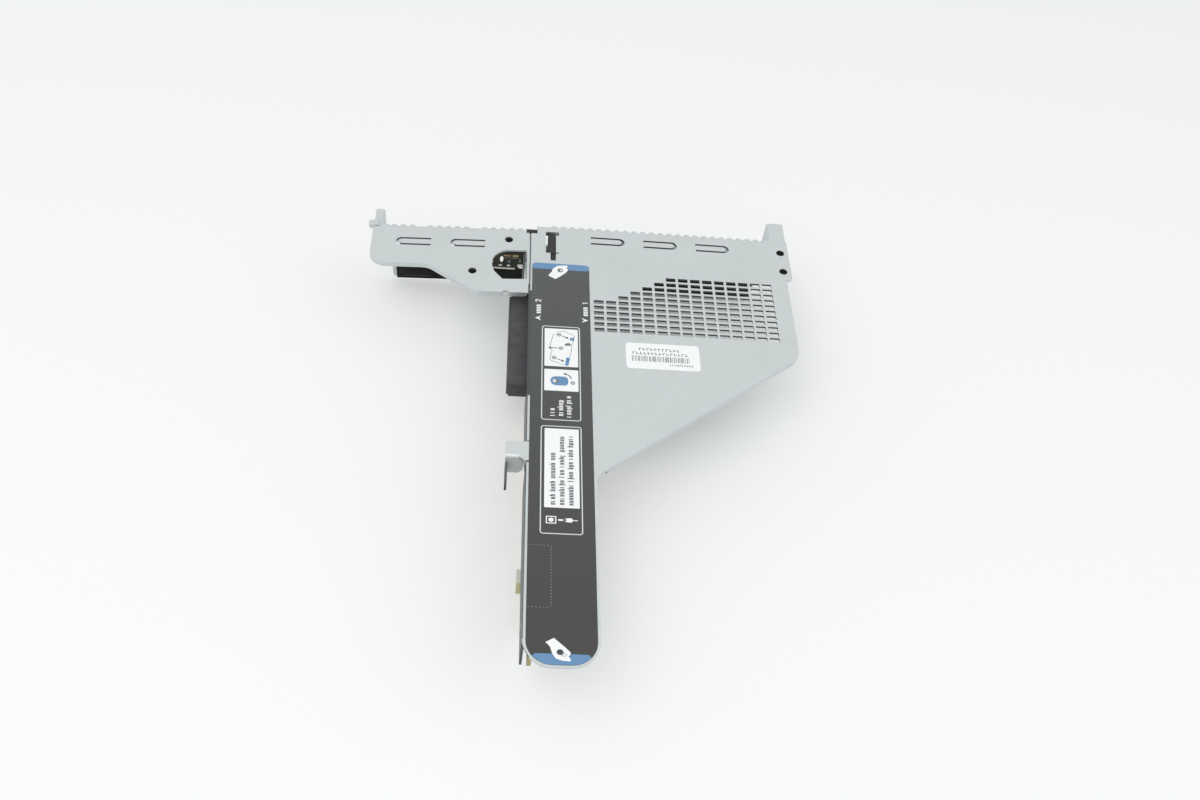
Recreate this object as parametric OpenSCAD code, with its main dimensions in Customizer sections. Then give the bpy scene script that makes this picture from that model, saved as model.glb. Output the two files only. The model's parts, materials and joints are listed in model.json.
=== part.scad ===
// Riser cage bracket for a one-unit server.
// A folded sheet-metal cage carries an upright riser board with two card connectors.
// +Y points to the rear wall, +Z is up, and the origin is the middle of the board's card edge.

/* [Sheet metal] */
// Thickness of the folded sheet
sheet_t = 1; // [0.8:0.1:1.2]
// Inside radius of every fold
fold_r = 0.5; // [0.4:0.1:1]
// Depth of the stiffening lip along the free edges
lip_h = 2.6; // [2.2:0.2:4]
// Diameter of the round fixing holes
hole_d = 4; // [3:0.2:5]

/* [Main cage] */
// Height of the top face above the surface that the part stands on
cage_h = 38; // [37:0.5:42]
// Distance from the middle of the card edge to the outer face of the rear wall
rear_reach = 138.2; // [134:0.1:145]
// Length of the top plate, rear wall to rounded front end
plate_len = 241.4; // [238:0.5:250]
// Width of the long front strip
strip_w = 29.4; // [28:0.2:34]
// Corner radius at the front end of the strip
strip_r = 11; // [6:0.5:13]
// Width of the wide rear bay, from the web
bay_w = 124.4; // [123:0.2:130]
// Length of the bay's straight right edge, to where the slanted edge would meet it
bay_side = 78.5; // [74:0.5:84]
// Distance from the rear at which the slanted edge would meet the strip
slant_end = 152; // [146:0.5:158]
// Radius of the bay's outer corner
bay_r = 11; // [6:0.5:14]
// Radius in the corner between the slanted edge and the strip
crook_r = 8; // [4:0.5:12]
// Length of the step-out panel at the rear right corner
panel_len = 27.2; // [24:0.2:30]
// How far the panel steps out beyond the right edge
panel_step = 3; // [2:0.2:4]
// Depth of the web that hangs from the strip's left edge
web_h = 20; // [16:0.5:24]
// Distance from the plate's front end back to the web's front end
web_stop = 12; // [11:0.2:15]

/* [Ear] */
// Distance from the rear to the ear's rear edge
ear_back = 135.6; // [135.2:0.2:140]
// Length of the ear along the web
ear_len = 8.2; // [7:0.2:10]
// How far the ear sticks out from the web
ear_out = 8.3; // [6:0.1:9]
// Depth of the ear's folded front wall
ear_drop = 11; // [8:0.5:14]
// Length of the guide leaf in front of the ear
leaf_len = 9.5; // [6:0.5:13]

/* [Vents] */
// Number of vent columns
vent_cols = 15; // [8:1:15]
// Number of rows in a full column
vent_rows = 11; // [6:1:11]
// Vent opening, across
vent_w = 4.6; // [3:0.1:4.8]
// Vent opening, front to back
vent_l = 2.35; // [1.6:0.05:2.6]
// Metal left between two openings
vent_web = 1.22; // [1:0.02:1.4]
// Rows missing from the first two columns, one fewer in each column after them
vent_steps = 5; // [0:1:5]
// Distance from the web to the first column
vent_x = 30.1; // [29:0.1:32]
// Distance from the rear to the first row
vent_back = 31.1; // [29:0.1:34]

/* [Spring fingers] */
// Length of a finger's cut
finger_len = 16.5; // [12:0.5:18]
// Width of a finger between its two cuts
finger_w = 3.2; // [2.4:0.1:4]
// Width of the cut
cut_w = 1; // [0.6:0.1:1.2]
// Spacing of the fingers along the rear
finger_pitch = 25.8; // [22:0.2:28]
// Distance from the main rear wall to the fingers' middle line
finger_back = 8; // [7:0.2:9]
// Distance from the slot 2 rear wall to its fingers' middle line
arm_finger_back = 11.6; // [10:0.2:13]
// How far the rear dimples stand out
bump_out = 0.7; // [0.4:0.1:1]
// Spacing of the rear dimples
bump_pitch = 4.35; // [3.6:0.05:5]

/* [Slot 2 cage] */
// Reach of the slot 2 cage from the web to its left edge
arm_reach = 75.6; // [74:0.2:80]
// How far its rear wall stands in front of the main rear wall
arm_set = 3.1; // [2:0.1:4]
// Length of its left part, rear wall to front edge
arm_short = 26.8; // [24:0.2:30]
// Length of its right part, rear wall to front edge
arm_long = 44.4; // [42:0.2:46]
// Reach from the web at which the front edge starts to slant back
arm_slant_in = 25; // [22:0.5:28]
// Reach from the web at which the slant ends
arm_slant_out = 48; // [44:0.5:52]
// Height of its rear wall
arm_wall_h = 34; // [32:0.5:35]
// Gap between the two cages' plates
seam = 0.4; // [0.3:0.05:0.6]
// Angle by which its plate sags towards the free end
arm_sag = 2.4; // [0:0.2:3]

/* [Slot windows] */
// Height of both card windows
window_h = 12.06; // [11.5:0.1:13]
// Length of the full-height card window
window1_l = 89.9; // [86:0.5:91]
// Length of the low-profile card window
window2_l = 54.53; // [52:0.5:56]
// Distance from the top face down to the card's middle plane
card_drop = 10.2; // [9.6:0.1:10.8]
// Thickness of the gasket strips
gasket_t = 1.4; // [1:0.1:2]
// Height of the slot 1 gasket strip
gasket1_h = 8.4; // [6:0.2:9]
// Height of the slot 2 gasket strip
gasket2_h = 5.8; // [4:0.2:6.5]

/* [Riser board] */
// Thickness of the riser board
board_t = 1.57; // [1.4:0.01:1.7]
// Gap between the board and the web
web_gap = 1.5; // [1.2:0.1:2]
// Distance from the rear wall to the board's front end
board_front = 233.5; // [232.8:0.1:236]
// Distance from the rear wall to the board's rear end
board_back = 24; // [22:0.5:28]
// Height of the board's narrow front end
board_nose_h = 11.4; // [9:0.2:13]
// Length of the narrow front end
board_nose = 19; // [16:0.5:21]
// Height of the card edge below the board's shoulder
edge_h = 8; // [7:0.5:9]
// Length of the first card-edge segment
edge1_l = 83; // [78:0.5:84]
// Length of the second card-edge segment
edge2_l = 49; // [46:0.5:50]
// Gap between the two segments
edge_gap = 3; // [2:0.5:4]

/* [Card connectors] */
// Length of the slot 1 connector
slot1_l = 89; // [87:0.5:91]
// Length of the slot 2 connector
slot2_l = 56; // [54:0.5:58]
// Height of a connector above the board
slot_h = 11.25; // [10.5:0.05:12]
// Width of a connector
slot_w = 8.2; // [7.5:0.1:8.8]
// Distance from the rear wall to both connectors
slot_back = 42.6; // [42:0.1:45]
// Width of the card slot in a connector
mouth_w = 1.8; // [1.6:0.1:2]
// Depth of the card slot
mouth_d = 9; // [8:0.1:9.4]

/* [Ledges] */
// How far both bracket ledges stand out behind the rear walls
ledge_out = 14.2; // [11.5:0.2:15]
// Width of the slot 1 ledge's top flange
ledge1_w = 8.2; // [7:0.2:9]
// Width of the slot 2 ledge's top flange
ledge2_w = 4.2; // [3.6:0.2:5]
// Depth of both ledges' side walls
ledge_h = 21; // [18:0.5:24]

/* [Labels] */
// Width of the long slot label
label_w = 27; // [24:0.2:27.4]
// Thickness of the printed films
film_t = 0.15; // [0.1:0.05:0.3]
// Distance from the rear wall to the label's rear edge
label_back = 26; // [25:0.2:30]
// Distance from the web to the part sticker
sticker_x = 44; // [38:0.5:50]
// Distance from the rear wall to the part sticker
sticker_back = 75; // [72:0.5:78]
// Width of the part sticker
sticker_w = 33.6; // [28:0.2:36]
// Height of the part sticker
sticker_h = 15.6; // [13:0.2:18]

/* [Hidden] */
eps = 0.01;
facets = 48;

// Planes that the pieces share
fold_o = fold_r + sheet_t;
top_z = cage_h;
under_z = top_z - sheet_t;
rear_y = rear_reach;
rear_roll = 0.7;
board_l = -board_t / 2;
board_r = board_t / 2;
web_x = board_l - web_gap - sheet_t;
web_in = web_x + sheet_t;
bay_x = web_x + bay_w;
panel_x = bay_x + panel_step;
strip_x = web_x + strip_w;
front_y = rear_y - rear_roll - plate_len;
arm_y = rear_y - arm_set;
web_end = plate_len - web_stop;
card_z = top_z - card_drop;
notch_w = 3.5;
notch_l = 6;
wall_gap = 2.7;
wall1_r = panel_x - ledge1_w - wall_gap;

// Distance measured forwards from the fold line of the main rear wall
function back(d) = rear_y - rear_roll - d;
function unit(v) = v / norm(v);

// Points of a rounded corner: p = [x, y, radius] between its neighbours a and b
function corner(a, p, b, n = 10) =
    let (u = unit([a.x - p.x, a.y - p.y]), v = unit([b.x - p.x, b.y - p.y]),
         half = acos(u * v) / 2, run = p[2] / tan(half),
         s = [p.x, p.y] + u * run, e = [p.x, p.y] + v * run,
         c = [p.x, p.y] + unit(u + v) * p[2] / sin(half),
         a0 = atan2(s.y - c.y, s.x - c.x), a1 = atan2(e.y - c.y, e.x - c.x),
         turn = a1 - a0 > 180 ? a1 - a0 - 360 : a1 - a0 < -180 ? a1 - a0 + 360 : a1 - a0)
    [for (i = [0:n]) c + p[2] * [cos(a0 + turn * i / n), sin(a0 + turn * i / n)]];

// Outline through pts = [x, y, radius], rounded where the radius is above 0
function rounded(pts) = [for (i = [0:len(pts) - 1])
    let (a = pts[(i + len(pts) - 1) % len(pts)], p = pts[i], b = pts[(i + 1) % len(pts)])
    each (p[2] > 0 ? corner(a, p, b) : [[p.x, p.y]])];

// The same corners moved inwards by d, for an outline that runs anticlockwise
function inset(pts, d) = [for (i = [0:len(pts) - 1])
    let (p = pts[i], a = pts[(i + len(pts) - 1) % len(pts)], b = pts[(i + 1) % len(pts)],
         u = unit([p.x - a.x, p.y - a.y]), v = unit([b.x - p.x, b.y - p.y]),
         m = [-u.y, u.x], n = [-v.y, v.x], s = (m + n) / (1 + m * n) * d,
         r = p[2] - d * sign(u.x * v.y - u.y * v.x))
    [p.x + s.x, p.y + s.y, p[2] > 0 ? r : 0]];

// A flat sheet whose top face is at height z
module flat(z, t = sheet_t) {
    translate([0, 0, z - t]) linear_extrude(t) children();
}

// An upright sheet drawn in (y, z), from x to x + t
module wall_x(x, t = sheet_t) {
    translate([x, 0, 0]) rotate([90, 0, 90]) linear_extrude(t) children();
}

// An upright sheet drawn in (x, z), with its rear face at y
module wall_y(y, t = sheet_t) {
    translate([0, y, 0]) rotate([90, 0, 0]) linear_extrude(t) children();
}

// Section of a folded edge: the outer face at 0, the top face at 0, the flange to -depth
module fold_section(depth) {
    translate([fold_o, -fold_o]) intersection() {
        difference() {
            circle(r = fold_o, $fn = facets);
            circle(r = fold_r, $fn = facets);
        }
        translate([-fold_o, 0]) square(fold_o);
    }
    if (depth > fold_o)
        translate([0, -depth]) square([sheet_t, depth - fold_o]);
}

// Fold along the outer edge p to q, with the sheet on the left of that direction
module fold(p, q, depth, z = top_z) {
    d = q - p;
    translate([p.x, p.y, z]) rotate(atan2(d.y, d.x)) rotate([90, 0, 90])
        linear_extrude(norm(d)) fold_section(depth);
}

// Lip under the edge of the outline pts, along the part that lies in the given zone
module rim(pts, depth, zone) {
    translate([0, 0, top_z - depth]) linear_extrude(depth - sheet_t / 2) intersection() {
        difference() {
            polygon(rounded(pts));
            polygon(rounded(inset(pts, sheet_t)));
        }
        polygon(zone);
    }
}

// Strip of flat sheet taken up by a fold along p to q
module fold_allowance(p, q) {
    d = q - p;
    translate(p) rotate(atan2(d.y, d.x)) translate([0, -1]) square([norm(d), fold_o + 1]);
}

// One spring finger's cut: two lines joined round the finger's tip; dir = 1 opens to the left
module finger_cut(dir) {
    r = finger_w / 2 + cut_w;
    mirror([dir < 0 ? 1 : 0, 0]) difference() {
        union() {
            translate([0, -r]) square([finger_len - r, 2 * r]);
            translate([finger_len - r, 0]) circle(r = r, $fn = facets);
        }
        translate([-1, -finger_w / 2]) square([finger_len - r + 1, finger_w]);
        translate([finger_len - r - cut_w / 2, 0]) circle(r = finger_w / 2, $fn = facets);
    }
}

// Row of half-round dimples on the outer side of a rear fold
module bumps(x0, y, slots, z) {
    r = 1.5;
    for (i = slots)
        translate([x0 + i * bump_pitch, y - r + bump_out, z - 2.4]) cylinder(r = r, h = 2.1, $fn = 24);
}

// ---- main cage ----
slant_a = [bay_x, back(bay_side)];
slant_b = [strip_x, back(slant_end)];
slant_in_dir = unit([slant_b.y - slant_a.y, slant_a.x - slant_b.x]);
lip_end = slant_b + unit(slant_a - slant_b) * (crook_r * 0.7);
ear_y0 = back(ear_back + ear_len);
ear_y1 = back(ear_back);
ear_x = web_x - ear_out;
ear_root_x = web_x - 2.5;
ear_root_y = ear_y0 - 1.8;
relief = 0.8;
bay_rim_y = back(panel_len + relief);
main_edge = [[web_x, rear_y - notch_l, 0], [web_x, front_y, strip_r], [strip_x, front_y, strip_r],
    [slant_b.x, slant_b.y, crook_r], [slant_a.x, slant_a.y, bay_r], [bay_x, back(panel_len), 0],
    [panel_x, back(panel_len), 2], [panel_x, rear_y, 0], [web_x + notch_w, rear_y, 0],
    [web_x + notch_w, rear_y - notch_l, 0]];

module main_outline() {
    difference() {
        union() {
            polygon(rounded(main_edge));
            polygon(rounded([[web_x + 3, ear_y1, 0], [ear_x, ear_y1, 1.5], [ear_x, ear_y0, 0],
                [ear_root_x, ear_y0, 0], [web_x, ear_root_y, 0], [web_x + 3, ear_root_y, 0]]));
        }
        fold_allowance([web_x, rear_y - notch_l], [web_x, ear_y1 + relief]);
        fold_allowance([web_x, ear_root_y - relief], [web_x, back(web_end)]);
        fold_allowance([wall1_r, rear_y], [web_x + notch_w, rear_y]);
        fold_allowance([ear_x, ear_y0], [ear_root_x, ear_y0]);
        translate([bay_x - 0.4, bay_rim_y]) square([panel_step + 1, relief]);
        translate([web_x - 1, ear_y1]) square([fold_o + 1.2, relief]);
        translate([web_x - 1, ear_root_y - relief]) square([fold_o + 1.2, relief]);
        vents();
        for (i = [0:2])
            translate([web_x + 29.5 + i * finger_pitch, back(finger_back)]) finger_cut(1);
        clip_slot();
        for (d = [panel_hole1, panel_hole2])
            translate([panel_hole_x, back(d)]) circle(d = hole_d, $fn = facets);
    }
}

panel_hole_x = panel_x - 4;
panel_hole1 = 8.1;
panel_hole2 = 21.3;

// Columns that fit beside the rim
vent_fit = min(vent_cols, floor((bay_w - vent_x - lip_h) / (vent_w + vent_web)));
module vents() {
    for (c = [0:vent_fit - 1])
        for (r = [max(0, vent_steps - max(0, c - 1)):vent_rows - 1])
            translate([web_x + vent_x + c * (vent_w + vent_web), back(vent_back + vent_l + r * (vent_l + vent_web))])
                square([vent_w, vent_l]);
}

// T-shaped slot for the cover clip
clip_x = web_x + 7.6;
clip_w = 4.9;
clip_y1 = back(3.6);
clip_y0 = back(23.8);
module clip_slot() {
    translate([clip_x, back(18.6)]) square([clip_w, 15]);
    translate([clip_x + 0.5, back(6)]) square([clip_w + 1, 2.4]);
    translate([clip_x + clip_w - 2.6, clip_y0]) square([2.6, 6]);
    translate([clip_x + clip_w - 0.2, back(18.8)]) square([1.6, 0.7]);
}

// Web outline in (y, z): deep in front and behind, shallow over the slot 2 connector
web_top = top_z - fold_o;
web_low = top_z - web_h;
conn_y1 = back(slot_back) + 1.2;
conn_y0 = back(slot_back + slot2_l) - 1.2;
web_shallow = top_z - 4.6;
module web_outline() {
    polygon(rounded([[rear_y - notch_l, web_top, 0], [rear_y - notch_l, web_low, 2],
        [conn_y1, web_low, 2], [conn_y1, web_shallow, 1], [conn_y0, web_shallow, 1],
        [conn_y0, web_low, 2], [ear_y1 + relief, web_low, 2], [ear_y1 + relief, web_top, 0]]));
    polygon(rounded([[ear_root_y - relief, web_top, 0], [ear_root_y - relief, web_low, 5],
        [back(web_end), web_low, 1], [back(web_end), web_top, 0]]));
}

// Rear wall outline in (x, z), with the card window and the two slots beside it
window1_x = board_r + slot_h + 2.2;
window_z = card_z - 0.4 - window_h;
module rear_wall() {
    difference() {
        polygon(rounded([[web_x + notch_w, web_top, 0], [web_x + notch_w, 0, 2.5],
            [wall1_r, 0, 2.5], [wall1_r, web_top, 0]]));
        translate([window1_x, window_z]) square([window1_l, window_h]);
        translate([clip_x + 0.2, top_z - 12]) square([2.2, 7.4]);
    }
}

// Board fixings: [distance from the rear, distance below the top face]
fixings = [[board_back + 6, 7.6], [slot_back + slot1_l + 8.4, 13], [board_front - 15.5, 10]];
rivets = [[12, 14], [36, 14]];
rivet_d = 3;
screw_d = 2.6;

module main_cage() {
    color("lightsteelblue") {
        flat(top_z) main_outline();
        fold([wall1_r, rear_y], [web_x + notch_w, rear_y], 0);
        wall_y(rear_y) rear_wall();
        bumps(web_x + 11.9, rear_y, [0:floor((wall1_r - web_x - 11.9) / bump_pitch)], top_z);
        fold([web_x, rear_y - notch_l], [web_x, ear_y1 + relief], 0);
        fold([web_x, ear_root_y - relief], [web_x, back(web_end)], 0);
        difference() {
            wall_x(web_x) web_outline();
            for (f = fixings)
                translate([web_x - 1, back(f.x), top_z - f.y]) rotate([0, 90, 0])
                    cylinder(d = screw_d + 0.4, h = sheet_t + 2, $fn = facets);
            for (f = rivets)
                translate([web_x - 1, back(f.x), top_z - f.y]) rotate([0, 90, 0])
                    cylinder(d = rivet_d, h = sheet_t + 2, $fn = facets);
        }
        fold([ear_x, ear_y0], [ear_root_x, ear_y0], 0);
        wall_y(ear_y0 + sheet_t) polygon([[ear_x, web_top], [ear_x, top_z - ear_drop],
            [web_x - 2.8, top_z - ear_drop], [web_x - relief, top_z - ear_drop + 2],
            [web_x - relief, web_top - 1.4], [ear_root_x, web_top]]);
        wall_x(ear_x) polygon([[ear_y0 - leaf_len, top_z - ear_drop], [ear_y0 + sheet_t / 2, top_z - ear_drop],
            [ear_y0 + sheet_t / 2, top_z - 4], [ear_y0 - leaf_len, top_z - 7]]);
        rim(main_edge, lip_h, [lip_end - 3 * slant_in_dir, [bay_x + 5, back(bay_side + 9)],
            [bay_x + 5, bay_rim_y], [bay_x - 20, bay_rim_y], lip_end + 3 * slant_in_dir]);
    }
}

// ---- slot 2 cage: its plate is drawn level, then sagged about its edge beside the web ----
arm_x = web_x - seam;
arm_l = web_x - arm_reach;
arm_short_y = arm_y - arm_short;
arm_long_y = arm_y - arm_long;
arm_wall_l = arm_l + 7.6;
arm_wall_r = web_x - 2.4;
window2_x = board_l - slot_h - 2.2 - window2_l;
arm_edge = [[arm_x, arm_y, 0], [arm_l, arm_y, 1.5], [arm_l, arm_short_y, 7.5],
    [web_x - arm_slant_out, arm_short_y, 9], [web_x - arm_slant_in, arm_long_y, 9],
    [arm_x, arm_long_y, 0]];

module arm_outline() {
    difference() {
        polygon(rounded(arm_edge));
        translate([arm_l - 1, arm_y - foot_in]) square([foot_gap_w + 1, foot_in + 1]);
        fold_allowance([arm_wall_r, arm_y], [arm_wall_l, arm_y]);
        for (i = [0:1])
            translate([web_x - 21.6 - i * finger_pitch, arm_y - arm_finger_back]) finger_cut(-1);
        for (h = arm_holes)
            translate([web_x - h.x, arm_y - h.y]) circle(d = hole_d, $fn = facets);
        bay_window();
        translate([web_x - 12, arm_long_y - 1]) square([2.3, 1 + sheet_t]);
        translate([web_x - 1.8, rear_y - notch_l]) square([3, notch_l]);
    }
}

arm_holes = [[10.2, 8.2], [26.8, 30.7]];

// D-shaped opening beside the web: round on the left, cut off along a diagonal in front
module bay_window() {
    r = 8.6;
    c = [web_x - 9.2, arm_y - 15.4 - r];
    a = 30;
    intersection() {
        translate(c) circle(r = r, $fn = 2 * facets);
        translate(c - [10, 10]) square([10.01, 20]);
    }
    polygon([c + [0, r], [web_x - 1.3, c.y + r], [web_x - 1.3, arm_y - 35.3], [web_x - 12.3, arm_y - 35.3],
        c - r * [cos(a), sin(a)], c]);
}

module arm_wall() {
    difference() {
        polygon(rounded([[arm_wall_r, web_top, 0], [arm_wall_l, web_top, 0],
            [arm_wall_l, top_z - arm_wall_h, 3], [arm_wall_r, top_z - arm_wall_h, 2.5]]));
        translate([window2_x, window_z]) square([window2_l, window_h]);
        arm_slit();
    }
}

// Narrow slot low in the slot 2 rear wall and its gasket
module arm_slit() {
    translate([arm_wall_l + 4.6, top_z - arm_wall_h + 1.2]) square([14, 1.6]);
}

// Turns a piece of the slot 2 cage down about the plate's edge beside the web
module sag() {
    translate([arm_x, 0, top_z]) rotate([0, -arm_sag, 0]) translate([-arm_x, 0, -top_z]) children();
}

// Flange by which the slot 2 cage is riveted to the web
flange_y1 = arm_y - 3.4;
flange_y0 = conn_y1 + 1;
flange_z = top_z - sheet_t / 2;
module arm_flange() {
    difference() {
        wall_x(web_x - sheet_t) polygon(rounded([[flange_y1, flange_z, 0],
            [flange_y1, web_low, 2], [flange_y0, web_low, 2], [flange_y0, flange_z, 0]]));
        for (f = rivets)
            translate([web_x - sheet_t - 1, back(f.x), top_z - f.y]) rotate([0, 90, 0])
                cylinder(d = rivet_d, h = sheet_t + 2, $fn = facets);
    }
}

module slot2_cage() {
    color("lightsteelblue") {
        sag() {
            flat(top_z) arm_outline();
            fold([arm_wall_r, arm_y], [arm_wall_l, arm_y], 0);
            wall_y(arm_y) arm_wall();
            bumps(arm_wall_l + 2.3, arm_y, [for (i = [0:floor((arm_wall_r - arm_wall_l - 4.6) / bump_pitch)])
                if (i != 3 && i != 9) i], top_z);
            difference() {
                rim(arm_edge, lip_h, [[arm_l - 1, arm_y - 2.2], [arm_l - 1, arm_long_y - 1],
                    [arm_x - 1.6, arm_long_y - 1], [arm_x - 1.6, arm_long_y + 6], [arm_l + 20, arm_y - 2.2]]);
                translate([web_x - 12, arm_long_y - 1, 0]) cube([2.3, 1 + sheet_t, cage_h]);
            }
        }
        arm_flange();
    }
}

// ---- ledges that a card's bracket is screwed to ----
ledge1_x = panel_x - ledge1_w;
ledge_top = under_z;
nut_back = 6.2;
nut_drop = 11;
nut_t = 2;
screw_hole_d = 3.6;
ledge_run = 1.2;

// Side wall of a ledge, from x to x + sheet_t, behind a rear wall whose outer face is at y0
module ledge_side(x, y0, out) {
    difference() {
        wall_x(x) polygon(rounded([[y0 + out, ledge_top - fold_o, 0],
            [y0 + out, ledge_top - ledge_h, 3], [y0 - ledge_run, ledge_top - ledge_h, 1],
            [y0 - ledge_run, ledge_top - fold_o, 0]]));
        translate([x - 1, y0 + nut_back, ledge_top - nut_drop]) rotate([0, 90, 0])
            cylinder(d = screw_hole_d, h = sheet_t + 2, $fn = facets);
    }
}

ledge_rivet_backs = [11, 18];
ledge_rivet_x = ledge1_x + 1.8;
ledge1_end = 25.6;
module slot1_ledge() {
    color("lightsteelblue") {
        flat(ledge_top) difference() {
            polygon(rounded([[panel_x - 0.1, rear_y + ledge_out, 0.6], [ledge1_x, rear_y + ledge_out, 0],
                [ledge1_x, back(ledge1_end), 1], [panel_x - 0.1, back(ledge1_end), 1]]));
            fold_allowance([ledge1_x, rear_y + ledge_out], [ledge1_x, rear_y - ledge_run]);
            for (d = [panel_hole1, panel_hole2])
                translate([panel_hole_x, back(d)]) circle(d = hole_d, $fn = facets);
            for (d = ledge_rivet_backs)
                translate([ledge_rivet_x, back(d)]) circle(d = rivet_d, $fn = facets);
        }
        fold([ledge1_x, rear_y + ledge_out], [ledge1_x, rear_y - ledge_run], 0, ledge_top);
        ledge_side(ledge1_x, rear_y, ledge_out);
    }
}

// The slot 2 ledge: a foot stands up through a notch in the sagging plate's corner
foot_w = 4.8;
foot_out = 2.4;
foot_in = 1.4;
foot_gap_w = 3.6;
foot_back = 2.6;
foot_up = 0.3;
ledge2_l = arm_l + 0.2;
ledge2_r = ledge2_l + ledge2_w;
ledge2_out = ledge_out - 2;
ledge2_run = 15;
module slot2_ledge() {
    color("lightsteelblue") sag() {
        flat(ledge_top) difference() {
            polygon(rounded([[ledge2_r, arm_y + ledge2_out, 0], [ledge2_l, arm_y + ledge2_out, 0.6],
                [ledge2_l, arm_y - foot_in + 0.2, 0], [arm_l + fold_o + 0.2, arm_y - foot_in + 0.2, 0],
                [arm_l + fold_o + 0.2, arm_y - ledge2_run, 0.5], [ledge2_r, arm_y - ledge2_run, 0.5]]));
            fold_allowance([ledge2_r, arm_y - ledge_run], [ledge2_r, arm_y + ledge2_out]);
        }
        fold([ledge2_r, arm_y - ledge_run], [ledge2_r, arm_y + ledge2_out], 0, ledge_top);
        ledge_side(ledge2_r - sheet_t, arm_y, ledge2_out);
        flat(top_z + foot_up, foot_up + 1 + sheet_t)
            polygon(rounded([[arm_l - foot_out, arm_y + foot_back, 1.8], [arm_l - foot_out, arm_y - foot_in + 0.2, 1.4],
                [arm_l - foot_out + foot_w, arm_y - foot_in + 0.2, 0], [arm_l - foot_out + foot_w, arm_y + foot_back, 0]]));
    }
}

// ---- riser board ----
edge_key = 12.6;
edge_key_w = 1.9;
edge_len = edge1_l + edge_gap + edge2_l;
edge_y1 = edge_len / 2;
board_top = top_z - fold_o - 0.8;
shoulder_z = edge_h;
board_y1 = back(board_back);
board_y0 = back(board_front);
module board_outline() {
    difference() {
        polygon(rounded([[board_y1, board_top, 1.5], [board_y0, board_top, 1.5],
            [board_y0, board_top - board_nose_h, 1.5], [board_y0 + board_nose, board_top - board_nose_h, 2],
            [board_y0 + board_nose, shoulder_z, 2], [-edge_y1, shoulder_z, 0], [-edge_y1, 0, 1.2],
            [edge_y1, 0, 1.2], [edge_y1, shoulder_z, 0], [board_y1, shoulder_z, 1.5]]));
        translate([edge_y1 - edge1_l - edge_gap, -1]) square([edge_gap, shoulder_z + 1]);
        translate([edge_y1 - edge_key, -1]) square([edge_key_w, shoulder_z + 0.4]);
        translate([-edge_y1 + edge2_l - edge_key, -1]) square([edge_key_w, shoulder_z + 0.4]);
    }
}

module riser_board() {
    color("darkolivegreen") difference() {
        wall_x(board_l, board_t) board_outline();
        for (f = fixings)
            translate([board_l - 1, back(f.x), top_z - f.y]) rotate([0, 90, 0])
                cylinder(d = screw_d + 0.6, h = board_t + 2, $fn = facets);
    }
}

// Gold pads of the card edge, on both faces
pad_pitch = 2;
pad_t = 0.06;
module edge_pads(y0, y1) {
    n = floor((y1 - y0) / pad_pitch);
    for (i = [0:n - 1], s = [0, 1])
        translate([s == 0 ? board_l - pad_t : board_r, y0 + (i + 0.15) * pad_pitch, 0.9])
            cube([pad_t, pad_pitch * 0.7, 4.6]);
}

module edge_contacts() {
    color("gold") {
        edge_pads(edge_y1 - edge_key + edge_key_w, edge_y1 - 1);
        edge_pads(edge_y1 - edge1_l + 1, edge_y1 - edge_key);
        edge_pads(-edge_y1 + edge2_l - edge_key + edge_key_w, -edge_y1 + edge2_l - 1);
        edge_pads(-edge_y1 + 1, -edge_y1 + edge2_l - edge_key);
    }
}

// ---- card connectors: drawn along +X from the board face, mirrored for slot 2 ----
key_at = 12.6;
key_w = 1.9;
wall_end = 2.2;
chamber_w = 4.2;
module connector(l) {
    difference() {
        union() {
            translate([0, -l, -slot_w / 2]) cube([slot_h - 1, l, slot_w]);
            translate([slot_h - 1 - eps, -l + 0.6, -slot_w / 2 + 0.6])
                cube([1 + eps, l - 1.2, slot_w - 1.2]);
        }
        translate([slot_h - mouth_d, -l + wall_end, -mouth_w / 2])
            cube([mouth_d + 1, l - key_at - wall_end, mouth_w]);
        translate([slot_h - mouth_d, -key_at + key_w, -mouth_w / 2])
            cube([mouth_d + 1, key_at - key_w - wall_end, mouth_w]);
        translate([slot_h - mouth_d, -l + wall_end + 0.6, -chamber_w / 2])
            cube([mouth_d - 1.4, l - key_at - wall_end - 1.2, chamber_w]);
        translate([slot_h - mouth_d, -key_at + key_w + 0.6, -chamber_w / 2])
            cube([mouth_d - 1.4, key_at - key_w - wall_end - 1.2, chamber_w]);
    }
}

module contact_row(y0, y1) {
    n = floor(y1 - y0);
    for (i = [0:n - 1], s = [-1, 1])
        translate([slot_h - mouth_d, y0 + i + 0.2, s * (chamber_w / 2 - 0.2) - 0.2])
            cube([5.6, 0.6, 0.4]);
}

module contacts(l) {
    contact_row(-key_at + key_w + 0.8, -wall_end - 0.8);
    contact_row(-l + wall_end + 0.8, -key_at - 0.8);
}

module at_slot1() { translate([board_r, back(slot_back), card_z]) children(); }
module at_slot2() { translate([board_l, back(slot_back), card_z]) mirror([1, 0, 0]) children(); }

module slot1_connector() { color("dimgray") at_slot1() connector(slot1_l); }
module slot2_connector() { color("dimgray") at_slot2() connector(slot2_l); }
module slot1_contacts() { color("gold") at_slot1() contacts(slot1_l); }
module slot2_contacts() { color("gold") at_slot2() contacts(slot2_l); }

// ---- small parts on the board ----
header_l = 10.5;
header_w = 8;
header_out = 4.1;
header_back = 194.5;
header_drop = 30;
module signal_header() {
    color("wheat") translate([board_l - header_out, back(header_back), top_z - header_drop]) difference() {
        cube([header_out, header_l, header_w]);
        translate([-1, 1, 1]) cube([header_out - 0.8, header_l - 2, header_w - 2]);
    }
}

cap_pitch = 9;
module board_capacitors() {
    color("peru") for (i = [0:7])
        translate([board_r, back(slot_back + 17.4 + i * cap_pitch), card_z - slot_w - 1.3]) cube([0.9, 1.6, 0.9]);
}

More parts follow.
